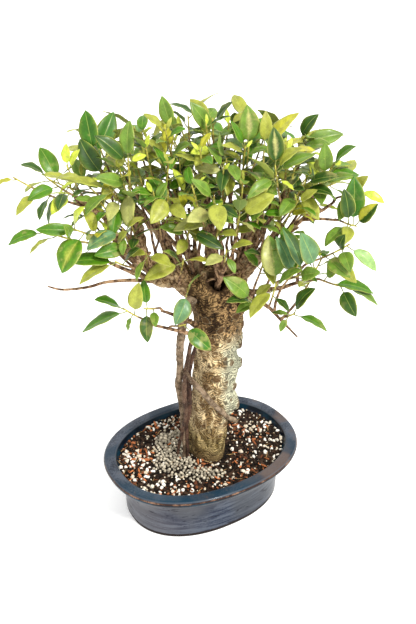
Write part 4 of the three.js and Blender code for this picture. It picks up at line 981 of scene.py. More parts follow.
# Each spray has its branch and the point on it, where its twig starts and ends, how many leaves follow in
# a spiral, and their tones. Each leaf of its own then has its share of the twig, heading and lean toward
# the camera in degrees, its length and, where it isn't 1, its breadth.
sprays = {
    "left_top_pair": sprig("bigLeft", 5, (-94, -22, 424), (-110, -10, 465), 1, "v v d d l g",
        (1, 107, 15, 49, 1.1), (0.97, 66, 5, 52), (0.45, 122, 26, 48, 1.1), (0.5, 98, 44, 45, 1.1),
        (0.4, 175, 0, 20), (0.9, 122, -35, 46)),
    "left_light": sprig("burl", 2, (-72, -32, 416), (-74, -24, 463), 2, "g d k g o l",
        (1, 91, 25, 43), (0.95, 135, 35, 46), (0.45, 264, 10, 43, 1.1), (0.5, 168, 45, 42),
        (0.9, 150, -40, 44), (0.98, 30, 0, 22)),
    "top_spike": sprig("leftThird", 3, (-35, 8, 440), (-28, 12, 482), 2, "g y o g l o",
        (1, 110, 20, 40), (0.8, 125, 10, 28, 0.8), (0.35, 142, 35, 36), (0.3, 40, 55, 40, 1.2),
        (0.5, 5, 10, 20), (0.1, 150, 40, 40)),
    "top_fan": sprig("centre", 3, (14, 12, 457), (13, 13, 493), 2, "o g g d l o",
        (1, 136, 10, 34), (0.6, 125, 35, 44), (1, 63, 20, 30), (0.9, 50, 48, 38), (0.2, 200, 50, 36),
        (0.1, 345, 35, 36)),
    "top_two_tone": sprig("clusterOuter", 3, (48, -8, 438), (50, -8, 471), 2, "g+c b m o g",
        (1, 92, 35, 46, 1.2), (0.95, 76, -25, 50), (0.9, 136, -35, 40), (0.75, 152, 50, 40),
        (0.3, 350, 40, 36)),
    "top_arch": sprig("clusterOuter", 2.5, (65, -16, 434), (66, -12, 474), 1, "o y y g",
        (1, 88, 30, 38, 0.9), (0.95, 52, 12, 52, 0.9), (0.55, 42, 0, 56, 0.8), (0.25, 300, 35, 34)),
    "cream_leaf": sprig("hub", 3, (82, -40, 426), (76, -40, 461), 2, "d+c o g l g",
        (1, 92, 35, 43, 1.1), (0.95, 70, 50, 38), (0.9, 30, 35, 45), (0.7, 330, 20, 22),
        (0.75, 217, 25, 43, 0.8)),
    "right_tip": sprig("hub", 4, (103, 7, 443), (104, 10, 473), 2, "d g g o",
        (1, 72, 50, 36, 1.1), (0.9, 15, 5, 50, 0.9), (0.8, 0, 50, 42), (0.5, 178, -20, 40)),
    "right_fan": sprig("right", 4, (120, -12, 424), (138, -18, 455), 2, "g b l o g g",
        (0.6, 94, 50, 42), (0.95, 75, 50, 38, 1.2), (1, 60, 0, 16), (1, 2, 10, 44, 0.7), (0.6, 345, 35, 44),
        (0.35, 15, 35, 38)),
    "hub_dark": sprig("hub", 2.5, (96, -22, 414), (108, -26, 438), 0, "d d o g",
        (1, 20, 45, 42), (0.8, 350, 45, 40), (0.7, 300, 40, 40), (0.4, 205, 45, 40)),
    "right_pale": sprig("right", 5, (147, -8, 415), (168, -10, 424), 0, "l o g b",
        (1, 340, 15, 32, 0.9), (0.3, 60, 40, 36), (0.6, 245, 30, 36), (0.6, 80, -30, 38)),
    "right_bright": sprig("rightOuter", 2, (148, -29, 397), (163, -36, 394), 0, "v y-d d g o",
        (0.9, 91, 8, 52, 1.05), (1, 50, 46, 38, 1.1), (0.6, 103, 45, 42), (0.8, 205, 30, 42),
        (0.5, 255, 50, 36)),
    "right_low": sprig("lowRight", 4, (129, -51, 338), (155, -60, 334), 0, "g d b g",
        (1, 337, 20, 40, 1.1), (0.8, 290, 35, 40, 1.1), (0.35, 335, 20, 48), (0.1, 60, 50, 38)),
    "right_middle": sprig("lowRight", 3, (117, -52, 360), (155, -52, 380), 0, "m o g g d",
        (1, 325, 10, 42, 0.9), (0.6, 300, 40, 44, 0.9), (0.85, 280, 50, 40), (0.4, 330, 42, 44),
        (0.8, 60, 45, 36)),
    "right_teal": sprig("lowRight", 2, (90, -66, 347), (118, -86, 370), 0, "t t-d t g d",
        (1, 110, 45, 47, 1.2), (0.6, 106, 10, 53, 0.95), (0.25, 101, 35, 48, 0.95), (0.4, 40, 60, 40),
        (0.6, 320, 50, 42)),
    "khaki_pair": sprig("bareRight", 2, (75, -54, 310), (79, -74, 346), 0, "k-g o g d",
        (1, 97, 10, 54, 1.15), (0.85, 220, 25, 44), (0.9, 72, 52, 44), (0.5, 320, 30, 26)),
    "crown_right": sprig("bareRight", 1, (63, -40, 306), (56, -60, 318), 0, "g d g o",
        (1, 140, 35, 45, 1.1), (0.85, 160, 60, 38), (0.3, 200, 45, 32), (0.7, 60, 50, 32)),
    "low_right": sprig("bareRight", 3, (90, -58, 296), (100, -68, 306), 0, "d b g g",
        (0.95, 66, 40, 42, 1.1), (1, 350, 15, 42), (0.5, 240, 0, 20), (0.8, 165, 10, 22)),
    "trunk_leaf": sprig("leftLow", 1, (-14, -34, 322), (-14, -52, 324), 0, "t g",
        (1, 256, 25, 40, 1.25), (0.6, 60, 50, 32)),
    "leaf_on_trunk": sprig("frontLow", 2, (-30, -60, 286), (-18, -64, 290), 0, "v",
        (1, 320, 20, 42, 1.15)),
    "hanging_dark": sprig("lowLeft", 3, (-46, -50, 303), (-60, -55, 305), 0, "d g b",
        (0.95, 272, 10, 38), (0.4, 282, 45, 26), (0.9, 100, 40, 34)),
    "long_low": sprig("frontLow", 3, (-62, -62, 296), (-81, -70, 313), 0, "b v g o",
        (0.9, 197, 0, 54, 1.05), (1, 150, 45, 42, 1.2), (0.6, 245, 0, 20), (0.5, 80, 45, 42)),
    "olive_hanging": sprig("leftLow", 3, (-75, -48, 352), (-88, -62, 365), 0, "o b g d",
        (1, 202, 15, 46, 1.05), (0.9, 178, 10, 54, 0.9), (0.9, 270, 30, 46, 1.15), (0.6, 45, 50, 38)),
    "left_round": sprig("bigLeft", 4, (-90, -50, 385), (-131, -62, 403), 0, "b+o b g l o",
        (0.75, 236, 10, 49, 1.35), (0.9, 178, 30, 44, 0.8), (0.95, 150, 12, 50, 1.25), (1, 75, 50, 34),
        (0.4, 110, 45, 38)),
    "left_teal": sprig("bigLeft", 3, (-72, -47, 371), (-80, -54, 398), 0, "t b y g o",
        (1, 190, 20, 44, 1.05), (0.2, 196, 25, 42), (0.1, 232, 38, 42, 0.85), (0.8, 262, 20, 22),
        (0.9, 50, 45, 34)),
    "red_twig": sprig("bigLeft", 7, (-132, -38, 430), (-154, -44, 450), 0, "d g o b l d",
        (1, 135, 45, 36, 1.1), (1, 55, 40, 32), (0.9, 18, 35, 36, 0.8), (0.6, 205, 45, 38),
        (0.1, 225, 35, 38), (0.3, 262, 45, 34)),
    "far_left": sprig("bigLeft", 6.3, (-140, -48, 428), (-185, -56, 455), 0, "y o d",
        (1, 183, 0, 26, 0.8), (0.5, 212, 35, 36, 0.9), (0.3, 250, 40, 34)),
    "left_bud": sprig("bigLeft", 6, (-124, -24, 424), (-138, -18, 453), 0, "l l o g",
        (1, 98, 20, 26, 1.1), (0.95, 60, 30, 26), (0.6, 168, 20, 34), (0.5, 350, 40, 34)),
    "left_long_arm": sprig("burl", 3, (-82, -24, 414), (-92, -42, 438), 0, "o g d b k",
        (1, 162, 10, 52, 0.9), (0.9, 215, 40, 43, 1.1), (0.9, 35, 40, 36), (0.3, 262, 25, 38, 1.1),
        (0.5, 255, 50, 36)),
    "left_arch": sprig("bigLeft", 4, (-104, -56, 382), (-160, -66, 402), 0, "b o d g",
        (1, 190, 5, 44, 0.8), (0.8, 205, 25, 36, 0.8), (0.5, 235, 45, 36), (0.55, 110, 50, 32)),
    "heart": sprig("leftSecond", 2, (-36, -20, 389), (-33, -42, 434), 2, "o+k b g k o g",
        (1, 246, 40, 42, 1.15), (0.95, 208, 42, 36), (1, 60, 40, 38), (1, 130, 15, 34, 0.7),
        (0.8, 315, 45, 36), (0.6, 160, 30, 36)),
    "heart_upper": sprig("leftThird", 2, (-24, 6, 381), (-14, -6, 420), 2, "o g g o l",
        (1, 56, 45, 38, 1.1), (0.9, 35, 20, 42), (0.8, 8, 40, 38), (0.7, 170, 45, 38), (0.95, 110, 40, 36)),
    "centre_down": sprig("centre", 1, (14, -30, 392), (14, -58, 436), 1, "k o g d o",
        (0.6, 207, 35, 40, 1.05), (1, 282, 40, 42, 1.15), (0.95, 130, 45, 36), (0.8, 335, 45, 36),
        (1, 60, 50, 38)),
    "olive_face": sprig("clusterTall", 1, (36, -38, 378), (40, -60, 418), 0, "o k g d",
        (0.95, 42, 38, 44, 1.2), (0.85, 330, 20, 22), (0.7, 150, 50, 36), (1, 90, 55, 38)),
    "three_hanging": sprig("clusterTall", 3, (29, -8, 422), (27, -20, 461), 2, "d g o k b",
        (0.95, 256, 40, 38), (0.97, 298, 45, 36), (0.75, 276, 45, 36), (0.7, 172, 0, 34), (1, 85, 55, 36)),
    "near_crown": sprig("frontCrown", 2, (25, -48, 352), (27, -61, 377), 0, "o g k",
        (1, 32, 45, 36, 1.1), (0.8, 300, 20, 22), (0.85, 205, 50, 34)),
    "dark_across": sprig("inner", 1, (-16, -24, 362), (-12, -42, 393), 0, "d g o",
        (1, 332, 12, 42, 0.85), (0.8, 150, 45, 34), (0.7, 245, 50, 32)),
    "grey_low": sprig("leftLow", 1, (-22, -36, 336), (-18, -50, 362), 0, "y o g",
        (1, 3, 45, 38), (0.9, 203, 10, 46, 0.95), (0.6, 120, 45, 34)),
    "left_inner": sprig("leftLow", 2.4, (-57, -43, 346), (-57, -50, 368), 0, "o g d",
        (1, 345, 42, 36), (0.9, 250, 20, 30, 0.8), (0.8, 140, 45, 34)),
    # the sides and the back
    "top_back_left": sprig("leftSecond", 4, (-62, 34, 438), (-72, 46, 474), 4),
    "top_back_middle": sprig("leftThird", 4, (-12, 52, 446), (-14, 62, 482), 4),
    "top_back_right": sprig("clusterTall", 4, (44, 42, 446), (50, 54, 480), 4),
    "top_right": sprig("hub", 4, (84, 30, 440), (88, 42, 470), 4),
    "top_left": sprig("burl", 4, (-100, 24, 434), (-112, 32, 466), 4),
    "side_left": sprig("burl", 4, (-128, 16, 412), (-166, 22, 424), 4),
    "side_right": sprig("backRight", 3, (124, 50, 400), (156, 56, 408), 4),
    "back_left_high": sprig("backLeft", 3, (-104, 58, 412), (-128, 66, 440), 4),
    "back_left": sprig("backLeft", 3, (-98, 84, 396), (-116, 112, 408), 4),
    "back_middle_left": sprig("backMiddle", 3, (-22, 100, 420), (-36, 122, 446), 4),
    "back_middle_right": sprig("backMiddle", 3, (18, 102, 420), (30, 124, 446), 4),
    "back_right": sprig("backRight", 3, (98, 84, 406), (110, 108, 424), 4),
    "back_right_high": sprig("backRight", 2.5, (108, 50, 424), (118, 52, 454), 4),
    "back_low_left": sprig("backLow", 2, (-60, 88, 346), (-86, 112, 354), 4),
    "back_low_right": sprig("backLowRight", 2, (66, 92, 350), (84, 120, 356), 4),
    "back_low_middle": sprig("backMiddle", 2, (0, 96, 366), (2, 130, 372), 4),
}


# ---- young shoots

# where the short shoots that fill the crown end, after the number, size and tones of their leaves
shootTips = {
    "front": (6, 0.68, "o g d o b y g b", (
        (0, -22, 472), (-44, 6, 458), (-8, -42, 440), (30, 18, 486), (-22, 4, 452), (60, -26, 440),
        (-66, -4, 446), (-56, -12, 470), (98, -18, 452), (24, -34, 458), (-48, -38, 432), (-32, -30, 462),
        (80, -2, 462), (112, -10, 436), (20, -48, 412), (62, -42, 412), (-4, -24, 408), (-104, -46, 428),
        (-84, -18, 452), (100, -42, 424), (44, -40, 448), (6, 0, 492), (-20, 20, 480), (-62, 8, 480),
        (88, -30, 474), (-76, -36, 412), (46, -18, 474), (-36, -8, 490), (92, -40, 388), (112, -44, 368),
        (70, -46, 368), (130, -38, 358), (-98, -50, 392))),
    "side": (6, 0.74, "g o d b g l o", (
        (-126, -14, 440), (-140, 6, 420), (130, -4, 446), (136, 20, 420), (-118, -30, 404), (-28, 0, 420),
        (16, -6, 428), (64, 4, 428), (-96, 12, 470), (116, 14, 470))),
    "back": (6, 0.85, "d g d b g o", (
        (10, 72, 458), (-32, 82, 446), (44, 82, 452), (-80, 72, 436), (-112, 44, 424), (92, 62, 442),
        (122, 34, 428), (-60, 48, 462), (70, 42, 468), (0, 42, 484), (-52, 96, 376), (78, 100, 380),
        (20, 112, 404), (-92, 100, 424), (96, 104, 404), (-8, 60, 420), (36, 40, 430), (-58, 30, 420),
        (78, 34, 410))),
}
shoot = {
    "below": 84, "inward": 0.68,    # how far below its tip a shoot leaves its branch, and how far in
    "leafy": 0.5,             # share of its length with leaves
    "lean": 7, "clear": 8,    # mm: how far it strays sideways, and the room that its leaves look for
}


def shootSpray(tip, count, size, letters, key):    # a shoot grows up and out from the branch nearest below it
    tip = Vector(tip)
    wanted = Vector((tip.x * shoot["inward"] + 4, tip.y * shoot["inward"] - 2, tip.z - shoot["below"]))
    nearest = []
    for name, rows in branches.items():
        for i in range(len(rows) - 1):
            for share in (0, 0.5):
                place = Vector(rows[i][:3]).lerp(Vector(rows[i + 1][:3]), share)
                if name not in wood["roots"] and i + share >= 1:
                    nearest.append(((place - wanted).length, name, i + share, place))
    name, place, base = min(nearest)[1:]
    stray = Vector((drawn(key + 0.2) - 0.5, drawn(key + 0.4) - 0.5, 0)) * 2 * shoot["lean"]
    start = base.lerp(tip, 1 - shoot["leafy"]) + stray
    # a small narrow leaf stands up at its tip
    bud = [1, 90 + 90 * (drawn(key + 0.7) - 0.5), 15, 11 + 9 * drawn(key + 0.8), 0.75]
    return {"on": (name, place), "from": start, "to": tip, "leaves": [bud], "more": count, "size": size,
            "tones": ("l " if drawn(key + 0.1) > 0.35 else "o ") + letters}


def makeShoots():
    found = {}
    for where, (count, size, letters, tips) in shootTips.items():
        letters = letters.split()
        for i, tip in enumerate(tips):
            turned = " ".join(letters[i % len(letters):] + letters[:i % len(letters)])
            found[f"{where}_{i + 1}"] = shootSpray(tip, count, size, turned, 900 + len(found))
    return found


# ---- twigs and leaves

leaf = {
    "fold": 17, "thickness": 0.55, "stalkRadius": 0.75, "wave": 0.55,    # degrees, mm
    "stalkShare": 0.22, "longestStalk": 9,
    "breadth": 0.265,         # half the width, of the blade's length
    "rows": 17, "columns": 11,
    "arch": (14, 30),         # degrees: the least that a blade bends over, and how much more some do
    "roll": 70,               # degrees: how much the leaves differ in the way they face
    # leaves in a spiral: radians from one to the next, droop, length in mm with how much more some have, and
    # in degrees how they differ in facing and how they open from the twig: at its foot, less at its tip, and
    # how they differ
    "spiral": 2.4, "droop": 0.12, "spiralLength": (38, 12), "spiralRoll": 50, "opening": (72, 34, 20),
    "turns": (    # the small turns that leaves make to clear each other: turn, tip, roll
        (0, 0, 0), (0, 12, 0), (0, -12, 0), (14, 0, 0), (-14, 0, 0), (0, 0, 28), (0, 0, -28), (12, 14, 0),
        (-12, 14, 0), (12, -14, 0), (-12, -14, 0), (0, 26, 20), (0, -26, -20), (28, 0, 15), (-28, 0, -15),
        (24, 22, 0), (-24, -22, 0), (38, 0, 0), (-38, 0, 0), (0, 40, 0)),
    "keysEach": 10,           # numbers kept for the leaves of one spray, which tell each leaf's own form
}
twigs = {
    "radii": (1.8, 1.2, 0.85),    # where it leaves its branch, in the middle and at its end
    "bend": 0.07,             # how far it hangs, of its length
    "dark": ((0.08, 0.04, 0.02), (0.34, 0.21, 0.115)), "fresh": ((0.26, 0.21, 0.04), (0.50, 0.46, 0.09)),
    "speck": (0.4, 0.33, 0.22),
}


class Bend:    # a curve through the air from one point to another, drawn toward a third
    def __init__(self, start, middle, end):
        self.start, self.middle, self.end = start, middle, end

    def at(self, t):
        return self.start * (1 - t) ** 2 + self.middle * 2 * t * (1 - t) + self.end * t ** 2

    def along(self, t):
        return ((self.middle - self.start) * (1 - t) + (self.end - self.middle) * t).normalized()


def twigBend(spray):
    start, end = Vector(spray["from"]), Vector(spray["to"])
    middle = (start + end) / 2 - up * twigs["bend"] * (end - start).length
    return Bend(start, middle, end)


def stemBend(spray):
    name, place = spray["on"]
    rows = branches[name]
    index = min(math.floor(place), len(rows) - 2)
    base = Vector(rows[index][:3]).lerp(Vector(rows[index + 1][:3]), place - index)
    end = Vector(spray["from"])
    middle = end - twigBend(spray).along(0) * 0.45 * (end - base).length
    return Bend(base, middle, end)


def squareTo(direction, wanted):
    return (wanted - direction * wanted.dot(direction)).normalized()


def spun(vector, axis, degrees):
    return Matrix.Rotation(math.radians(degrees), 3, axis) @ vector


def placedLeaf(bend, row, key):
    place, heading, lean, length, breadth = (*row, 1)[:5]
    heading, lean = math.radians(heading), math.radians(lean)
    ahead = (seenRight * math.cos(heading) * math.cos(lean) + seenUp * math.sin(heading) * math.cos(lean)
             + seenNear * math.sin(lean))
    # it faces up and toward the camera, and each leaf a little differently
    face = spun(squareTo(ahead, up * 0.8 + seenNear * 0.6), ahead, leaf["roll"] * (drawn(key) - 0.5))
    return {"root": bend.at(0.95 * place), "ahead": ahead, "face": face, "length": length,
            "breadth": breadth, "key": key}


def spiralLeaf(bend, place, turn, key, size):
    along = bend.along(place)
    out = spun(squareTo(along, up - seenNear * 0.3), along, math.degrees(turn))
    most, less, spread = leaf["opening"]
    opening = math.radians(most - less * place + spread * (drawn(key + 0.3) - 0.5))
    ahead = along * math.cos(opening) + out * math.sin(opening)
    ahead.z -= leaf["droop"]
    ahead.normalize()
    face = spun(squareTo(ahead, up + along * 0.5), ahead, leaf["spiralRoll"] * (drawn(key) - 0.5))
    shortest, more = leaf["spiralLength"]
    return {"root": bend.at(0.95 * place), "ahead": ahead, "face": face,
            "length": size * (shortest + more * drawn(key + 0.6)), "breadth": 1, "key": key}


def wantedLeaves(spray, s):
    bend = twigBend(spray)
    rows, more = spray["leaves"], spray["more"]
    wanted = [placedLeaf(bend, row, leaf["keysEach"] * s + i) for i, row in enumerate(rows)]
    for i in range(more):    # more than three spread to the twig's end, and fewer start low on it
        place = 0.2 + 0.8 * i / (more - 1) if more > 3 else 0.15 + 0.35 * i
        turn = leaf["spiral"] * i + 2 * math.pi * drawn(s + 0.5)
        wanted.append(spiralLeaf(bend, place, turn, leaf["keysEach"] * s + len(rows) + i, spray["size"]))
    return wanted


def turnedLeaf(given, turns):
    turn, tip, roll = turns
    side = given["ahead"].cross(given["face"])
    ahead = spun(spun(given["ahead"], given["face"], turn), side, tip)
    face = spun(squareTo(ahead, given["face"]), ahead, roll)
    return {**given, "ahead": ahead, "face": face}


def measured(given):    # stalk, blade and how far the blade arches over
    stalk = min(leaf["longestStalk"], leaf["stalkShare"] * given["length"])
    least, more = leaf["arch"]
    return stalk, given["length"] - stalk, math.radians(least + more * drawn(given["key"] + 0.9))


def leafTip(given):
    stalk, blade, arch = measured(given)
    return (given["root"] + given["ahead"] * (stalk + blade * math.sin(arch) / arch)
            - given["face"] * blade * (1 - math.cos(arch)) / arch)


def standingLeaves(name, s):    # each leaf the way it stands in the solid, found by its tip
    corners = [corner.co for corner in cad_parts["spray_" + name].data.vertices]
    finder = kdtree.KDTree(len(corners))
    for i, corner in enumerate(corners):
        finder.insert(corner, i)
    finder.balance()
    found = []
    for wanted in wantedLeaves(sprays[name], s):
        for turns in leaf["turns"]:
            standing = turnedLeaf(wanted, turns)
            if finder.find(inPart(leafTip(standing)))[2] < 0.05 * mm:
                found.append(standing)
                break
    return found


def spine(given):    # three places along a leaf
    root, whole = given["root"], given["ahead"] * given["length"]
    return [np.array(root + whole * share) for share in (0.35, 0.65, 0.95)]


def roomyLeaves(spray, s, taken):    # each leaf turned to where it has the most room
    found = []
    for wanted in wantedLeaves(spray, s):
        others = np.array(taken)
        room = {}
        for turns in leaf["turns"]:
            standing = turnedLeaf(wanted, turns)
            room[turns] = min(np.linalg.norm(others - place, axis=1).min() for place in spine(standing))
            if room[turns] > shoot["clear"]:
                break
        found.append(turnedLeaf(wanted, max(room, key=room.get)))
        taken.extend(spine(found[-1]))
    return found


def leafTree():    # a blade and a stalk for every point
    given, start = newTree(
        "leaves", "Leaves", Points="Geometry", Rows="Int", Columns="Int", Fold="Float", Thickness="Float",
        Stalk_Radius="Float", Wave="Float", Blade_Look="Material", Stalk_Look="Material")
    root, ahead, face = (start.named(name, "FLOAT_VECTOR") for name in ("leafRoot", "leafAhead", "leafFace"))
    stalk, blade, arch, width, seed = (start.named(name) for name in
                                       ("stalk", "blade", "arch", "halfWidth", "seed"))
    u, v, skin = (start.named(name) for name in ("bladePlace", "bladeSide", "skin"))
    side = ahead.arrow("CROSS_PRODUCT", face)
    place = start.add("GeometryNodeInputPosition")
    x, y = place.axis(0), place.axis(1)

    # the blade is two skins that meet at the edge
    grid = start.add("GeometryNodeMeshGrid", None, {"Size X": 2, "Size Y": 1, "Vertices X": given["Columns"],
                                                    "Vertices Y": given["Rows"]})
    grid = grid.store("bladeSide", x).store("bladePlace", 0.5 - 0.5 * ((y + 0.5) * math.pi).sum("COSINE"))
    under = start.add("GeometryNodeFlipFaces", None, {"Mesh": grid.store("skin", -1.0)})
    blades = grid.store("skin", 1.0).joined(under).onPoints(given["Points"]).real()
    # the outline is 1 where the blade is broadest
    outline = (u.sum("MAXIMUM", 0.0) ** 0.62) * ((1 - u).sum("MAXIMUM", 0.0) ** 0.9) / 0.36
    across = v * width * outline
    bend = arch * u
    # the blade arches over, folds along its rib, waves at its edge and dips at the rib
    normal = face.longer(bend.sum("COSINE")).arrow("ADD", ahead.longer(bend.sum("SINE")))
    edge = v.sum("ABSOLUTE")
    lift = (across * across + 2.5e-7).sum("SQRT") * given["Fold"].sum("SINE")
    ripple = (u * (13 + 6 * seed) + seed * 40 + v * 1.3).sum("SINE") * given["Wave"] * edge ** 2.0 * outline
    cup = edge * edge * edge * width * -0.10
    rib = (1 - edge * 8).sum("MAXIMUM", 0.0) * outline
    thick = given["Thickness"] * 0.5 * (1 - edge ** 4.0) * outline
    out = lift + ripple + cup + skin * thick - rib * (0.00012 - skin * 0.00006)
    sway = (u * 3.1).sum("SINE") * blade * (seed - 0.5) * 0.07
    spot = root.arrow("ADD", ahead.longer(stalk + blade * bend.sum("SINE") / arch))
    spot = spot.arrow("ADD", face.longer(blade * (bend.sum("COSINE") - 1) / arch))
    spot = spot.arrow("ADD", side.longer(across * given["Fold"].sum("COSINE") + sway))
    spot = spot.arrow("ADD", normal.longer(out))
    blades = start.add("GeometryNodeSetPosition", None, {"Geometry": blades, "Position": spot})
    blades = blades.painted(given["Blade Look"])

    # the stalk is a grid wrapped round, with closed ends
    wrap = start.add("GeometryNodeMeshGrid", None, {"Size X": 1, "Size Y": 1, "Vertices X": 8,
                                                    "Vertices Y": 7})
    stalks = wrap.store("bladeSide", x).store("bladePlace", y + 0.5).onPoints(given["Points"]).real()
    down = start.add("ShaderNodeMapRange", None, {"Value": u, "From Min": 0.15, "From Max": 0.85})
    inside = start.add("ShaderNodeMath", {"operation": "COMPARE"}, {0: u, 1: 0.5, 2: 0.4})
    radius = given["Stalk Radius"] * inside * (1 - down * 0.25)
    turn = v * 2 * math.pi
    spot = root.arrow("ADD", ahead.longer(stalk * (down * 1.12 - 0.06)))
    spot = spot.arrow("ADD", side.longer(radius * turn.sum("COSINE")))
    spot = spot.arrow("ADD", face.longer(radius * turn.sum("SINE") - down * (1 - down) * stalk * 0.35))
    stalks = start.add("GeometryNodeSetPosition", None, {"Geometry": stalks, "Position": spot})
    leaves = blades.joined(stalks.painted(given["Stalk Look"]))
    leaves = start.add("GeometryNodeMergeByDistance", None, {"Geometry": leaves, "Distance": 0.004 * mm})
    return start.add("GeometryNodeSetShadeSmooth", None, {"Geometry": leaves}).result("Leaves")


# a leaf's tones: one letter, two with - for the left and the right of its rib, where one half is a painted
# sheen, or two with + for its edge and middle
tones = {
    "b": (0.066, 0.195, 0.004),   # bright
    "v": (0.034, 0.140, 0.002),   # vivid
    "g": (0.135, 0.245, 0.026),   # green
    "d": (0.026, 0.080, 0.005),   # dark
    "o": (0.335, 0.360, 0.046),   # olive, partly a painted warm sheen
    "k": (0.40, 0.41, 0.125),     # khaki, a painted warm sheen
    "c": (0.50, 0.47, 0.17),      # cream
    "t": (0.105, 0.225, 0.090),   # blue-green, green with a painted reflection of the sky
    "l": (0.56, 0.66, 0.06),      # lime
    "y": (0.46, 0.45, 0.03),      # gold
    "m": (0.30, 0.50, 0.16),      # mint
}


def leafMesh(name, leaves):
    mesh = bpy.data.meshes.new(name)
    mesh.from_pydata([inPart(given["root"]) for given in leaves], [], [])
    rows = [measured(given) for given in leaves]
    keepValues(mesh, {
        "leafRoot": [inPart(given["root"]) for given in leaves],
        "leafAhead": [treeTurn @ given["ahead"] for given in leaves],
        "leafFace": [treeTurn @ given["face"] for given in leaves],
        "stalk": [row[0] * mm for row in rows],
        "blade": [row[1] * mm for row in rows],
        "arch": [row[2] for row in rows],
        "halfWidth": [leaf["breadth"] * row[1] * given["breadth"] * mm for row, given in zip(rows, leaves)],
        "seed": [drawn(given["key"] + 0.17) for given in leaves],
        "leftTone": [tones[given["tone"][0]] for given in leaves],
        "rightTone": [tones[given["tone"][-1]] for given in leaves],
        "blotched": [float("+" in given["tone"]) for given in leaves],
    })
    return mesh


def makeLeaves(shoots):
    nodes = leafTree()
    inputs = {"Rows": leaf["rows"], "Columns": leaf["columns"], "Fold": math.radians(leaf["fold"]),
              "Thickness": leaf["thickness"] * mm, "Stalk Radius": leaf["stalkRadius"] * mm,
              "Wave": leaf["wave"] * mm, "Blade Look": bladeFinish(), "Stalk Look": stalkFinish()}
    standing = {name: standingLeaves(name, s) for s, name in enumerate(sprays)}
    taken = [place for leaves in standing.values() for given in leaves for place in spine(given)]
    total = 0
    for s, (name, spray) in enumerate({**sprays, **shoots}.items()):
        leaves = standing[name] if name in sprays else roomyLeaves(spray, s, taken)
        letters = spray["tones"].split()
        for given in leaves:
            given["tone"] = letters[(given["key"] - leaf["keysEach"] * s) % len(letters)]
        piece = onScene("leaves_" + name, leafMesh("leaves_" + name, leaves))
        grow(piece, nodes, inputs)
        finished(piece, nodes=["spray_" + name] if name in sprays else [])
        total += len(leaves)
    print(total, "leaves made")


bladeTones = {
    "worn": (0.38, 0.33, 0.11), "rib": (0.40, 0.46, 0.09), "nearEdge": (0.38, 0.43, 0.05),
    "edge": (0.68, 0.70, 0.18), "dryEdge": (0.16, 0.07, 0.02), "below": (0.32, 0.40, 0.11),
}


def bladeFinish():
    blade = Finish("fig leaf", Coat_Weight=0.13, Coat_Roughness=0.2, Specular_IOR_Level=0.28)
    left, right = blade.read("leftTone", "rightTone", out="Vector")
    u, v, skin, seed, blotched = blade.read("bladePlace", "bladeSide", "skin", "seed", "blotched")
    edge = v.sum("ABSOLUTE")
    cloud = blade.place.grain(8, 3)
    fine = blade.place.grain(1.3, 3)
    middle = 0.30 * (u * math.pi).sum("SINE") + 0.02 - edge
    ragged = (blade.place.grain(3.4, 4, 0.65) - 0.5) * (0.9 - blotched * 0.35)
    part = v * (1 - blotched) + middle * blotched + ragged
    # a leaf with - is split at its rib, one half a painted sheen; a leaf with + has another tone in its
    # middle
    colour = part.steps(-0.16, 0.16 + blotched * 0.2).blend(left, right)
    colour = (cloud.steps(0.38, 0.62) * 0.55).blend(colour, colour.longer(0.5))
    colour = (fine.steps(0.5, 0.7) * 0.2).blend(colour, colour.longer(1.6))
    # some leaves have yellowed or browned in patches
    worn = blade.place.grain(11, 3, 0.5, 0.6).steps(0.54, 0.68) * seed.steps(0.5, 0.85)
    colour = (worn * 0.45).blend(colour, bladeTones["worn"])
    # side veins leave the rib at a slant, and the edge is a thin yellow line
    veins = ((u * 58 + edge * -15 + (seed + cloud * 0.35) * 6).sum("SINE")).steps(0.8, 1.0)
    colour = (veins * 0.25 * (1 - edge)).blend(colour, colour.longer(1.9))
    rib = 1 - (edge * (0.35 + 0.65 * (1 - u))).steps(0.008, 0.035)
    colour = (rib * 0.5).blend(colour, bladeTones["rib"])
    colour = ((edge ** 5.0) * 0.4).blend(colour, bladeTones["nearEdge"])
    rim = (edge + (cloud - 0.5) * 0.08).steps(0.9, 0.97)
    colour = (rim * 0.75).blend(colour, bladeTones["edge"])
    colour = (rim * cloud.steps(0.58, 0.66) * 0.5).blend(colour, bladeTones["dryEdge"])
    below = 1 - skin.steps(-0.5, 0.5)
    colour = (below * 0.4).blend(colour, bladeTones["below"])
    blade.set("Base Color", colour)
    blade.set("Roughness", 0.38 + below * 0.25 + fine * 0.12)
    blade.bump((1 - rib) * 0.8 + veins * -0.35 + fine * 0.25, 0.25, 0.6)
    return blade.material


def stalkFinish():
    stalk = Finish("leaf stalk", Roughness=0.5)
    mottle = stalk.place.grain(1.5, 3)
    stalk.set("Base Color", mottle.steps(0.35, 0.7).blend((0.13, 0.15, 0.025), (0.32, 0.34, 0.09)))
    stalk.bump(mottle, 0.15, 0.5)
    return stalk.material


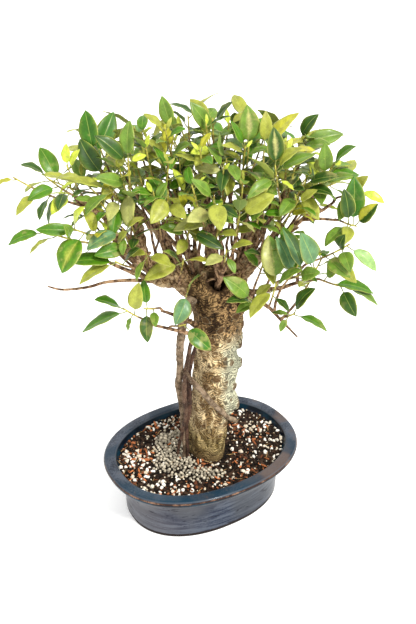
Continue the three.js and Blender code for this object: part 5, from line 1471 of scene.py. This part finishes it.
# thin bare stems that stand between the limbs: foot, tip and radius, in mm
bareStems = (
    ((24, -6, 326), (19, -2, 440), 1.7), ((28, -10, 322), (34, -12, 445), 1.5),
    ((34, -10, 320), (45, -16, 438), 1.8), ((40, -6, 326), (57, -14, 436), 1.4),
    ((44, -2, 332), (71, -18, 428), 1.7), ((47, -10, 326), (86, -24, 420), 1.5),
    ((46, 4, 350), (60, 14, 440), 1.5), ((54, -8, 340), (99, -30, 416), 1.3),
    ((36, 8, 336), (30, 20, 440), 1.6), ((20, 4, 326), (5, 12, 436), 1.5),
    ((2, -6, 318), (-8, -18, 420), 1.8), ((-6, -6, 314), (-22, -12, 424), 1.5),
    ((-16, -14, 318), (-31, -22, 416), 1.9), ((-26, -16, 326), (-45, -24, 414), 1.5),
    ((-40, -24, 336), (-61, -32, 408), 1.6), ((-60, -28, 350), (-89, -42, 398), 1.5),
    ((-20, 2, 342), (-36, 4, 430), 1.6), ((10, -6, 322), (7, -22, 424), 1.4),
    ((-50, -26, 344), (-40, -28, 400), 1.3), ((60, -12, 350), (64, -26, 410), 1.4),
    ((-78, -34, 362), (-70, -30, 410), 1.3), ((16, -14, 318), (26, -18, 412), 1.2),
    ((6, -27, 324), (42, -31, 337), 1.2), ((40, -24, 318), (14, -32, 334), 1),
    ((70, -16, 352), (104, -34, 392), 1.4))
stems = {"bend": (0, 6, -4), "sway": 3.4}    # mm
stubs = {    # ends of cut twigs along the limbs, down to limbs of the thinnest radius
    "each": 5, "length": (2.5, 7), "radius": (1.1, 2), "thinnest": 2.4,
}


def addBareStems(clay):
    for foot, tip, radius in bareStems:
        foot, tip = Vector(foot), Vector(tip)
        bend = Bend(foot, (foot + tip) / 2 + Vector(stems["bend"]), tip)
        rows = []
        for t in np.linspace(0, 1, 24):
            place = bend.at(t)
            sway = Vector((noise.noise(place / 14), noise.noise(place / 14 + Vector((9, 9, 9))), 0))
            sway *= stems["sway"]
            rows.append((*(place + sway), radius * (1.15 - 0.45 * t)))
        clay.tube(rows, 8, rough=0.3, roughSize=3, young=0.0)


def addStubs(clay):
    shortest, longest = stubs["length"]
    thinnest, thickest = stubs["radius"]
    for b, name in enumerate(branches):
        if name in wood["roots"]:
            continue
        path = smoothed(branches[name], 3)
        path = path[path[:, 3] > stubs["thinnest"]]
        for k in range(stubs["each"] if len(path) > 4 else 0):
            along, turn, slant, size = (drawn(50 * b + k + part) for part in (0.1, 0.3, 0.5, 0.7))
            row = path[int((0.3 + 0.65 * along) * len(path))]
            foot = Vector(row[:3])
            out = Vector((math.cos(6.3 * turn), math.sin(6.3 * turn), 0.2 + slant))
            out.normalize()
            length = shortest + (longest - shortest) * size + row[3]
            radius = min(0.5 * row[3], thinnest + (thickest - thinnest) * slant)
            rows = [(*(foot + out * length * away), radius * wide)
                    for away, wide in ((0, 1.2), (0.6, 1), (0.93, 0.95), (1, 0.5))]
            clay.tube(rows, 8, rough=0.3, roughSize=3, young=0.0)


def addSprayTwigs(clay, shoots):    # each from its branch to the end among its leaves
    foot, middle, end = twigs["radii"]
    ripe = np.concatenate([np.linspace(0, 0.55, 9), np.linspace(0.55, 1, 9), [1]])
    for spray in [*sprays.values(), *shoots.values()]:
        stem, twig = stemBend(spray), twigBend(spray)
        rows = [(*stem.at(t), foot + (middle - foot) * t) for t in np.linspace(0, 0.93, 9)]
        rows += [(*twig.at(t), middle + (end - middle) * t) for t in np.linspace(0, 1, 9)]
        rows.append((*(twig.at(1) + twig.along(1) * 2.5), 0.3))
        clay.tube(rows, 8, rough=0.22, roughSize=3, young=ripe)


def addBranchEnds(clay):    # beyond the solid wood
    for name in branches:
        if name not in wood["roots"]:
            path = smoothed(branches[name], 3)
            thin = path if name in wood["apart"] else path[path[:, 3] < wood["thinnest"] + 0.25]
            if len(thin) > 2:
                clay.tube(thin, 10, rough=0.15, roughSize=4, young=0.0)


def makeTwigs(shoots):
    clay = Clay()
    addBareStems(clay)
    addStubs(clay)
    addSprayTwigs(clay, shoots)
    addBranchEnds(clay)
    finished(clay.made("twigs"), twigFinish())
    print("twigs made")


def twigFinish():
    twig = Finish("twig bark", Specular_IOR_Level=0.2)
    young, = twig.read("young")
    patches = twig.place.grain(5, 3)
    fine = twig.place.grain(1.1, 4)
    colour = patches.steps(0.4, 0.6).blend(*twigs["dark"])
    fresh = patches.steps(0.4, 0.6).blend(*twigs["fresh"])
    colour = (young + (patches - 0.5) * 0.3).steps(0.5, 0.98).blend(colour, fresh)
    colour = (fine.steps(0.62, 0.75) * 0.3).blend(colour, twigs["speck"])
    twig.set("Base Color", colour)
    twig.set("Roughness", 0.62 + fine * 0.2)
    twig.bump(fine + patches * 0.4, 0.25, 0.6)
    return twig.material


# ---- stage

stage = {
    "aim": (7.99, 0, 269.67), "camera": (7.99, -873.77, 764.98), "lens": 50,    # mm in the tree's frame
    "floor": 16.0,            # metres each way
    "glow": 0.25,             # of the floor, as over a light table
    "world": 1.0,
    "suns": {    # the way to each light in the tree's frame, strength, degrees wide, colour
        "key": ((0.62, -0.68, 0.95), 3.4, 12, (1, 0.975, 0.93)),
        "fill": ((-0.6, -0.8, 0.6), 0.2, 50, (0.95, 0.98, 1)),
        "back": ((-0.2, 0.9, 0.8), 0.5, 50, (1, 0.99, 0.95)),
    },
}


def setStage():
    mesh = bpy.data.meshes.new("floor")
    half = stage["floor"] / 2
    corners = [(-half, -half, 0), (half, -half, 0), (half, half, 0), (-half, half, 0)]
    mesh.from_pydata(corners, [], [(0, 1, 2, 3)])
    floor = onScene("floor", mesh)
    paint = Finish("white floor", Roughness=0.9, Emission_Color=(1, 1, 1, 1), Emission_Strength=stage["glow"])
    clouds = paint.place.grain(300, 2).steps(0.2, 0.8)
    paint.set("Base Color", clouds.blend((0.93, 0.93, 0.925), (0.96, 0.96, 0.955)))
    floor.data.materials.append(paint.material)

    world = bpy.data.worlds.new("white studio")
    world.use_nodes = True
    ground = world.node_tree.nodes["Background"]
    ground.inputs["Color"].default_value = (1, 1, 1, 1)
    ground.inputs["Strength"].default_value = stage["world"]
    bpy.context.scene.world = world

    for name, (toward, strength, width, colour) in stage["suns"].items():
        light = bpy.data.lights.new(name, "SUN")
        light.energy = strength
        light.angle = math.radians(width)
        light.color = colour
        lamp = onScene(name, light)
        lamp.rotation_euler = (treeTurn @ Vector(toward)).to_track_quat("Z", "Y").to_euler()

    lens = bpy.data.cameras.new("camera")
    lens.lens = stage["lens"]
    lens.sensor_width = 36
    lens.sensor_fit = "AUTO"
    lens.clip_start = 0.01
    camera = onScene("camera", lens)
    camera.location = inPart(stage["camera"])
    ahead = inPart(stage["aim"]) - camera.location
    camera.rotation_euler = ahead.to_track_quat("-Z", "Y").to_euler()
    bpy.context.scene.camera = camera
    bpy.context.scene.view_settings.view_transform = "Standard"
    print("stage set")


makePot()
dressScreens()
makeSoil()
scatterGrains()
makeWood()
makeRoots()
shoots = makeShoots()
makeTwigs(shoots)
makeLeaves(shoots)
setStage()
